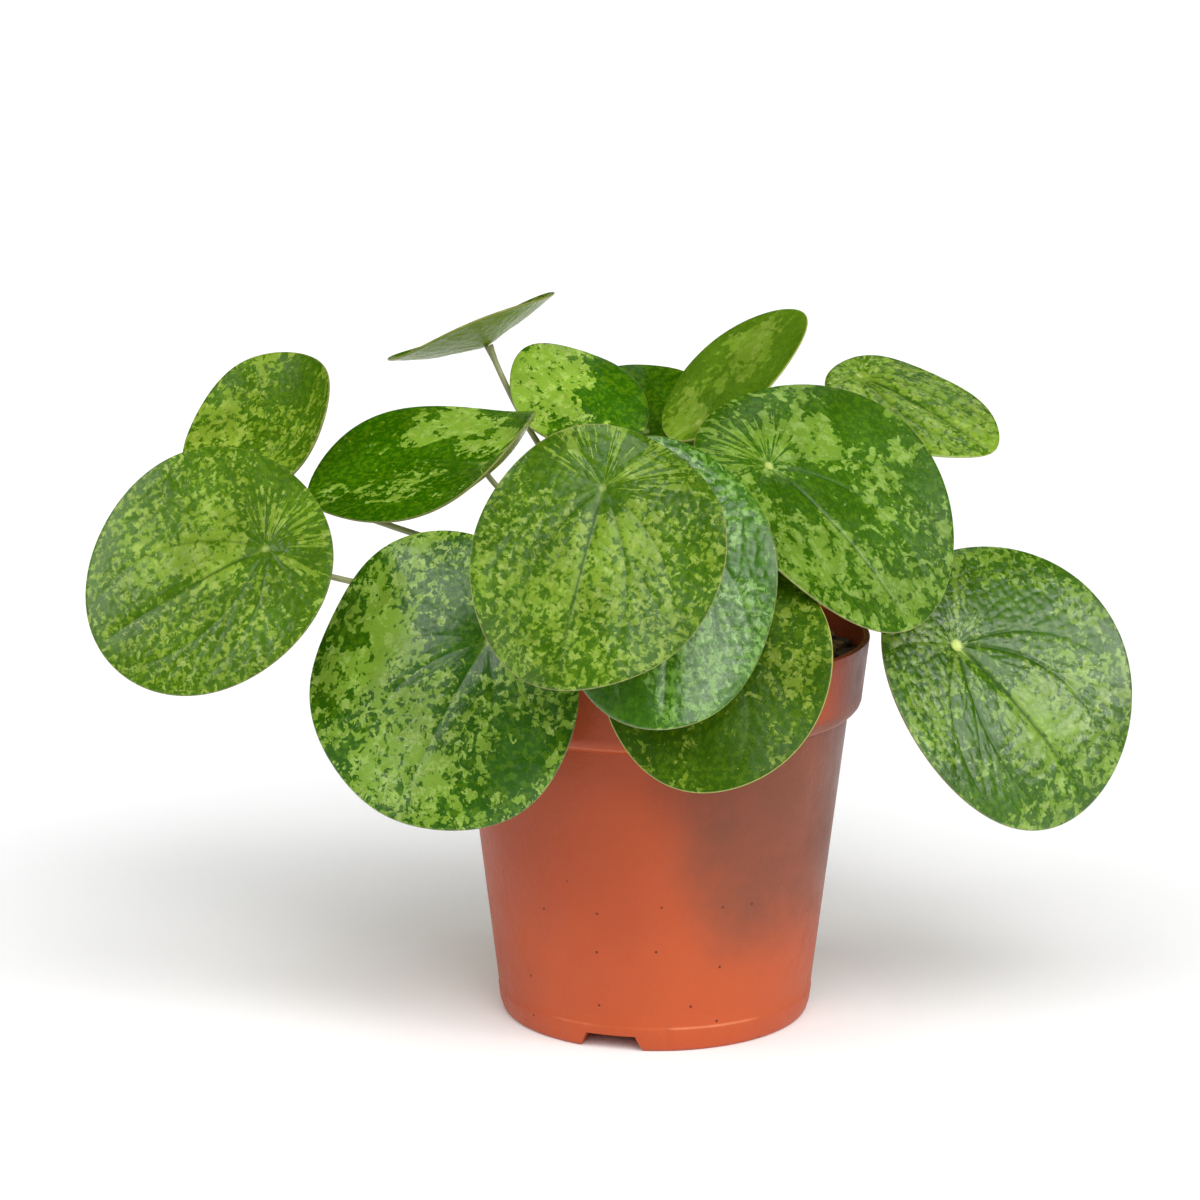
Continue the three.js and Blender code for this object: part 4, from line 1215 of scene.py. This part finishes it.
def pot_plastic(settings):
    """Cloudy, finely grained terracotta-coloured plastic with dark specks, dust and painted shade on its
    right, and a painted highlight.
    """
    paint = Paint("pot_plastic")
    where = paint.where()
    parts = paint.node("ShaderNodeSeparateXYZ", {"Vector": where}).outputs
    deep, scuff_and_highlight = tuple(settings.deep), tuple(settings.scuff_and_highlight)
    clouds = paint.noise(where, 14.0, 3.0, 0.55)
    skin = paint.mix(paint.rise(clouds, 0.35, 0.65), deep, tuple(settings.plastic))
    film = paint.noise(where, 30.0, 5.0, 0.65)
    # Painted shadow of the leaves, over a little dust, on the body's front right.
    skin = paint.mix(shadow_and_dust_patch(paint, parts, film), skin, tuple(settings.dust_and_shadow))

    # Painted shadow: the band's right side is darkened where the leaves above it shade it.
    band_shadow = paint.times(paint.rise(parts["X"], 0.04, 0.056), paint.rise(parts["Z"], 0.09, 0.094))
    skin = paint.mix(paint.times(band_shadow, 0.85), skin, tuple(0.4 * part for part in deep))
    # Painted highlight: a pale line along the shoulder's edge, in the scuffs' colour.
    shoulder_highlight = paint.rise(paint.size(paint.minus(parts["Z"], SHOULDER_HIGHLIGHT)), 0.0006, 0.0002)
    skin = paint.mix(paint.times(shoulder_highlight, 0.25), skin, scuff_and_highlight)
    front = paint.rise(paint.size(parts["X"]), 0.03, 0.024)
    foot_line = paint.rise(paint.size(paint.minus(parts["Z"], settings.foot)), 0.0005, 0.0001)
    scuffed = paint.times(paint.times(foot_line, front), paint.rise(film, 0.4, 0.6, 0.05, 0.5))
    skin = paint.mix(scuffed, skin, scuff_and_highlight)

    freckles = paint.noise(where, 1500.0, 2.0, 0.5)
    skin = paint.mix(paint.rise(freckles, 0.6, 0.75, 0.0, 0.25), skin, deep)
    skin = paint.mix(specks(paint, parts), skin, tuple(0.12 * part for part in deep))
    grain = paint.bump(paint.noise(where, 900.0, 2.0, 0.5), 0.3, 0.0003)
    ripple = paint.bump(paint.noise(where, 160.0, 3.0, 0.6), 0.3, 0.0008, grain)
    gloss = paint.rise(paint.noise(where, 60.0, 4.0, 0.6), 0.3, 0.7, 0.36, 0.5)
    return paint.finish(base_color=skin, roughness=gloss, normal=ripple, specular_ior_level=0.3)


# ---------- soil ----------

SOIL_LUMP = 1.1
COARSE_LUMPS = 0.2  # radians of ripple in each millimetre
FINE_LUMPS = 0.53
STREWN_FROM = 6.5  # clear of the stem
STREWN_TO = 55.0  # clear of the wall


def lump_points(draw, size, flatness):
    """A small rough pebble: points of a ball pulled in and out."""
    ball = bmesh.new()
    bmesh.ops.create_icosphere(ball, subdivisions=2, radius=1.0)
    stretch = [draw.uniform(0.6, 1.2), draw.uniform(0.6, 1.2), flatness * draw.uniform(0.7, 1.1)]
    turn = draw.uniform(0, 2 * math.pi)
    tilt = draw.uniform(-0.5, 0.5)
    points = []
    for vert in ball.verts:
        pull = size * draw.uniform(0.72, 1.12)
        x, y, z = (part * pull * much for part, much in zip(vert.co, stretch))
        y, z = y * math.cos(tilt) - z * math.sin(tilt), y * math.sin(tilt) + z * math.cos(tilt)
        points.append((x * math.cos(turn) - y * math.sin(turn), x * math.sin(turn) + y * math.cos(turn), z))
    faces = [[vert.index for vert in face.verts] for face in ball.faces]
    ball.free()
    return np.array(points), faces


def soil_height(x, y):
    """The gentle hills of the soil's solid, on which the crumbs and chips lie."""
    coarse = np.sin(COARSE_LUMPS * x + 1.3) * np.cos(COARSE_LUMPS * y - 0.4)
    fine = np.sin(FINE_LUMPS * (x - 0.9 * y)) + np.cos(FINE_LUMPS * (1.15 * y + 0.7 * x) + 2)
    return SOIL_LEVEL + SOIL_LUMP * (0.7 * coarse + 0.45 * fine)


def strewn(draw, count, low, high, flatness):
    """Pebbles between two sizes strewn over the soil, as one set of points and faces."""
    points, faces = [], []
    total = 0
    for _ in range(count):
        reach = math.sqrt(draw.uniform(STREWN_FROM ** 2, STREWN_TO ** 2))
        angle = draw.uniform(0, 2 * math.pi)
        x, y = reach * math.cos(angle), reach * math.sin(angle)
        size = draw.uniform(low, high)
        lump, lump_faces = lump_points(draw, size, flatness)
        points.append(lump + np.array([x, y, soil_height(x, y) + 0.25 * size]))
        faces += [[total + index for index in face] for face in lump_faces]
        total += len(lump)
    return np.concatenate(points), faces


def soil_skin(name, main, second, scale, moss=None):
    """Two grainy tones, with patches of moss where a moss colour is given."""
    paint = Paint(name)
    where = paint.where()
    grain = paint.noise(where, scale, 5.0, 0.7)
    skin = paint.mix(paint.rise(grain, 0.38, 0.62), main, second)
    if moss is not None:
        patches = paint.noise(where, 45.0, 4.0, 0.65)
        skin = paint.mix(paint.rise(patches, 0.52, 0.62), skin, moss)
    return paint.finish(base_color=skin, roughness=paint.rise(grain, 0.3, 0.7, 0.8, 0.98),
                        normal=paint.bump(grain, 0.8, 0.0006))


def add_soil(settings):
    """Crumbs, chips of bark and moss over the soil's solid, which keeps a peaty skin of its own."""
    peat, bark, moss = tuple(settings.peat), tuple(settings.bark), tuple(settings.moss)
    darker = tuple(0.5 * part for part in peat)
    bare = soil_skin("peat_bed", darker, peat, 500.0)
    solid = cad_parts["soil"]
    solid.data.materials.clear()
    solid.data.materials.append(bare)
    draw = random.Random(11)
    crumbs = strewn(draw, settings.crumbs, 0.7, 1.9, 0.8)
    crumb_skin = soil_skin("peat_crumbs", darker, tuple(1.3 * part for part in peat), 900.0, moss)
    add_piece("soil_crumbs", *crumbs, crumb_skin, "soil")
    chips = strewn(draw, settings.chips, 1.8, 3.4, 0.42)
    chip_skin = soil_skin("bark_chips", tuple(0.45 * part for part in bark), bark, 420.0)
    add_piece("soil_chips", *chips, chip_skin, "soil")


# ---------- stage ----------

CAMERA_AT = (-0.0157, -0.986, 0.330)
CAMERA_TILT = 77.86  # degrees up from straight down
FLOOR_HALF_WIDTH = 60.0


def add_softbox(name, side, height, power, width):
    """A wide soft light from far off: side is its bearing from the camera's way to the right, in degrees."""
    data = bpy.data.lights.new(name, "SUN")
    data.energy = power
    data.angle = math.radians(width)
    lamp = bpy.data.objects.new(name, data)
    lamp.rotation_euler = (math.radians(90 - height), 0, math.radians(side))
    lamp.location = (math.sin(math.radians(side)), -math.cos(math.radians(side)), 1)
    bpy.context.scene.collection.objects.link(lamp)
    return lamp


def add_floor(settings):
    """A pale paper floor, wide enough to have no edge in any view."""
    wide = FLOOR_HALF_WIDTH
    corners = [(-wide, -wide, 0), (wide, -wide, 0), (wide, wide, 0), (-wide, wide, 0)]
    mesh = bpy.data.meshes.new("floor")
    mesh.from_pydata(corners, [], [(0, 1, 2, 3)])
    paint = Paint("floor_paper")
    pale = tuple(settings.floor)
    tint = paint.mix(paint.noise(paint.where(), 3.0, 2.0), pale, tuple(0.99 * part for part in pale))
    mesh.materials.append(paint.finish(base_color=tint, roughness=0.9, specular_ior_level=0.1))
    floor = bpy.data.objects.new("floor", mesh)
    bpy.context.scene.collection.objects.link(floor)


def add_sky(settings):
    """A dim white sky that shows in no reflection."""
    sky = bpy.data.worlds.new("studio")
    bpy.context.scene.world = sky
    sky.use_nodes = True
    backdrop = sky.node_tree.nodes["Background"]
    backdrop.inputs["Color"].default_value = (1, 1, 1, 1)
    backdrop.inputs["Strength"].default_value = settings.sky
    sky.cycles_visibility.glossy = False


def add_camera(settings):
    data = bpy.data.cameras.new("camera")
    data.sensor_width = 36
    data.lens = settings.lens
    data.clip_start, data.clip_end = 0.05, 200
    camera = bpy.data.objects.new("camera", data)
    camera.location = CAMERA_AT
    camera.rotation_euler = (math.radians(CAMERA_TILT), 0, 0)
    bpy.context.scene.collection.objects.link(camera)
    bpy.context.scene.camera = camera


def add_stage(settings):
    """The floor, a dim sky, the soft lights and the camera."""
    add_floor(settings)
    add_sky(settings)
    add_softbox("softbox_right", 66, 26, settings.right, 22)
    add_softbox("window", 34, 40, settings.window, 50)
    add_softbox("softbox_left", -74, 34, settings.left, 28)
    add_softbox("back_light", 155, 52, settings.back, 18)
    fill = add_softbox("fill_front", -8, 46, settings.front, 60)
    fill.visible_glossy = False
    add_camera(settings)
    bpy.context.scene.view_settings.view_transform = "Standard"


# ---------- operators ----------

class PILEA_OT_pot(bpy.types.Operator):
    """Mould the nursery pot"""

    bl_idname = "pilea.pot"
    bl_label = "Add the pot"

    def execute(self, context):
        add_pot(context.scene.pilea_pot)
        return {"FINISHED"}


class PILEA_OT_soil(bpy.types.Operator):
    """Cover the soil with crumbs, bark and moss"""

    bl_idname = "pilea.soil"
    bl_label = "Add the soil's cover"

    def execute(self, context):
        add_soil(context.scene.pilea_soil)
        return {"FINISHED"}


class PILEA_OT_stem(bpy.types.Operator):
    """Grow the woody stem"""

    bl_idname = "pilea.stem"
    bl_label = "Add the stem"

    def execute(self, context):
        add_stem(context.scene.pilea_stalk)
        return {"FINISHED"}


class PILEA_OT_stalks(bpy.types.Operator):
    """Grow a stalk for every leaf"""

    bl_idname = "pilea.stalks"
    bl_label = "Add the leaf stalks"

    def execute(self, context):
        settings = context.scene.pilea_stalk
        skin = stalk_skin(settings)
        for place_name, leaf in leaf_rows():
            add_stalk(place_name, leaf, settings, skin)
        return {"FINISHED"}


class PILEA_OT_blades(bpy.types.Operator):
    """Grow every leaf blade with its veins and marbling"""

    bl_idname = "pilea.blades"
    bl_label = "Add the leaf blades"

    def execute(self, context):
        settings = context.scene.pilea_blade
        for place_name, leaf in leaf_rows():
            add_blade(place_name, leaf, settings)
        return {"FINISHED"}


class PILEA_OT_stage(bpy.types.Operator):
    """Set the floor, the light and the camera"""

    bl_idname = "pilea.stage"
    bl_label = "Set the stage"

    def execute(self, context):
        add_stage(context.scene.pilea_stage)
        return {"FINISHED"}


class PILEA_PT_panel(bpy.types.Panel):
    """Lists the pieces of the potted pilea"""

    bl_label = "Potted pilea"
    bl_space_type = "VIEW_3D"
    bl_region_type = "UI"
    bl_category = "Pilea"

    def draw(self, context):
        scene = context.scene
        for operator, settings in PANEL_ROWS:
            self.layout.operator(operator.bl_idname)
            group = getattr(scene, settings)
            for name in group.__annotations__:
                self.layout.prop(group, name)


SETTINGS = {
    "pilea_pot": PileaPotSettings,
    "pilea_soil": PileaSoilSettings,
    "pilea_stalk": PileaStalkSettings,
    "pilea_blade": PileaBladeSettings,
    "pilea_stage": PileaStageSettings,
}

PANEL_ROWS = [
    (PILEA_OT_pot, "pilea_pot"),
    (PILEA_OT_soil, "pilea_soil"),
    (PILEA_OT_stem, "pilea_stalk"),
    (PILEA_OT_stalks, "pilea_stalk"),
    (PILEA_OT_blades, "pilea_blade"),
    (PILEA_OT_stage, "pilea_stage"),
]

CLASSES = [*SETTINGS.values(), *(operator for operator, _ in PANEL_ROWS), PILEA_PT_panel]


def register():
    for made in CLASSES:
        bpy.utils.register_class(made)
    for name, group in SETTINGS.items():
        setattr(bpy.types.Scene, name, PointerProperty(type=group))


def unregister():
    for name in SETTINGS:
        delattr(bpy.types.Scene, name)
    for made in reversed(CLASSES):
        bpy.utils.unregister_class(made)


def main():
    register()
    bpy.ops.pilea.stage()
    bpy.ops.pilea.pot()
    bpy.ops.pilea.soil()
    bpy.ops.pilea.stem()
    bpy.ops.pilea.stalks()
    bpy.ops.pilea.blades()
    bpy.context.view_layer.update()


if __name__ == "__main__":
    main()
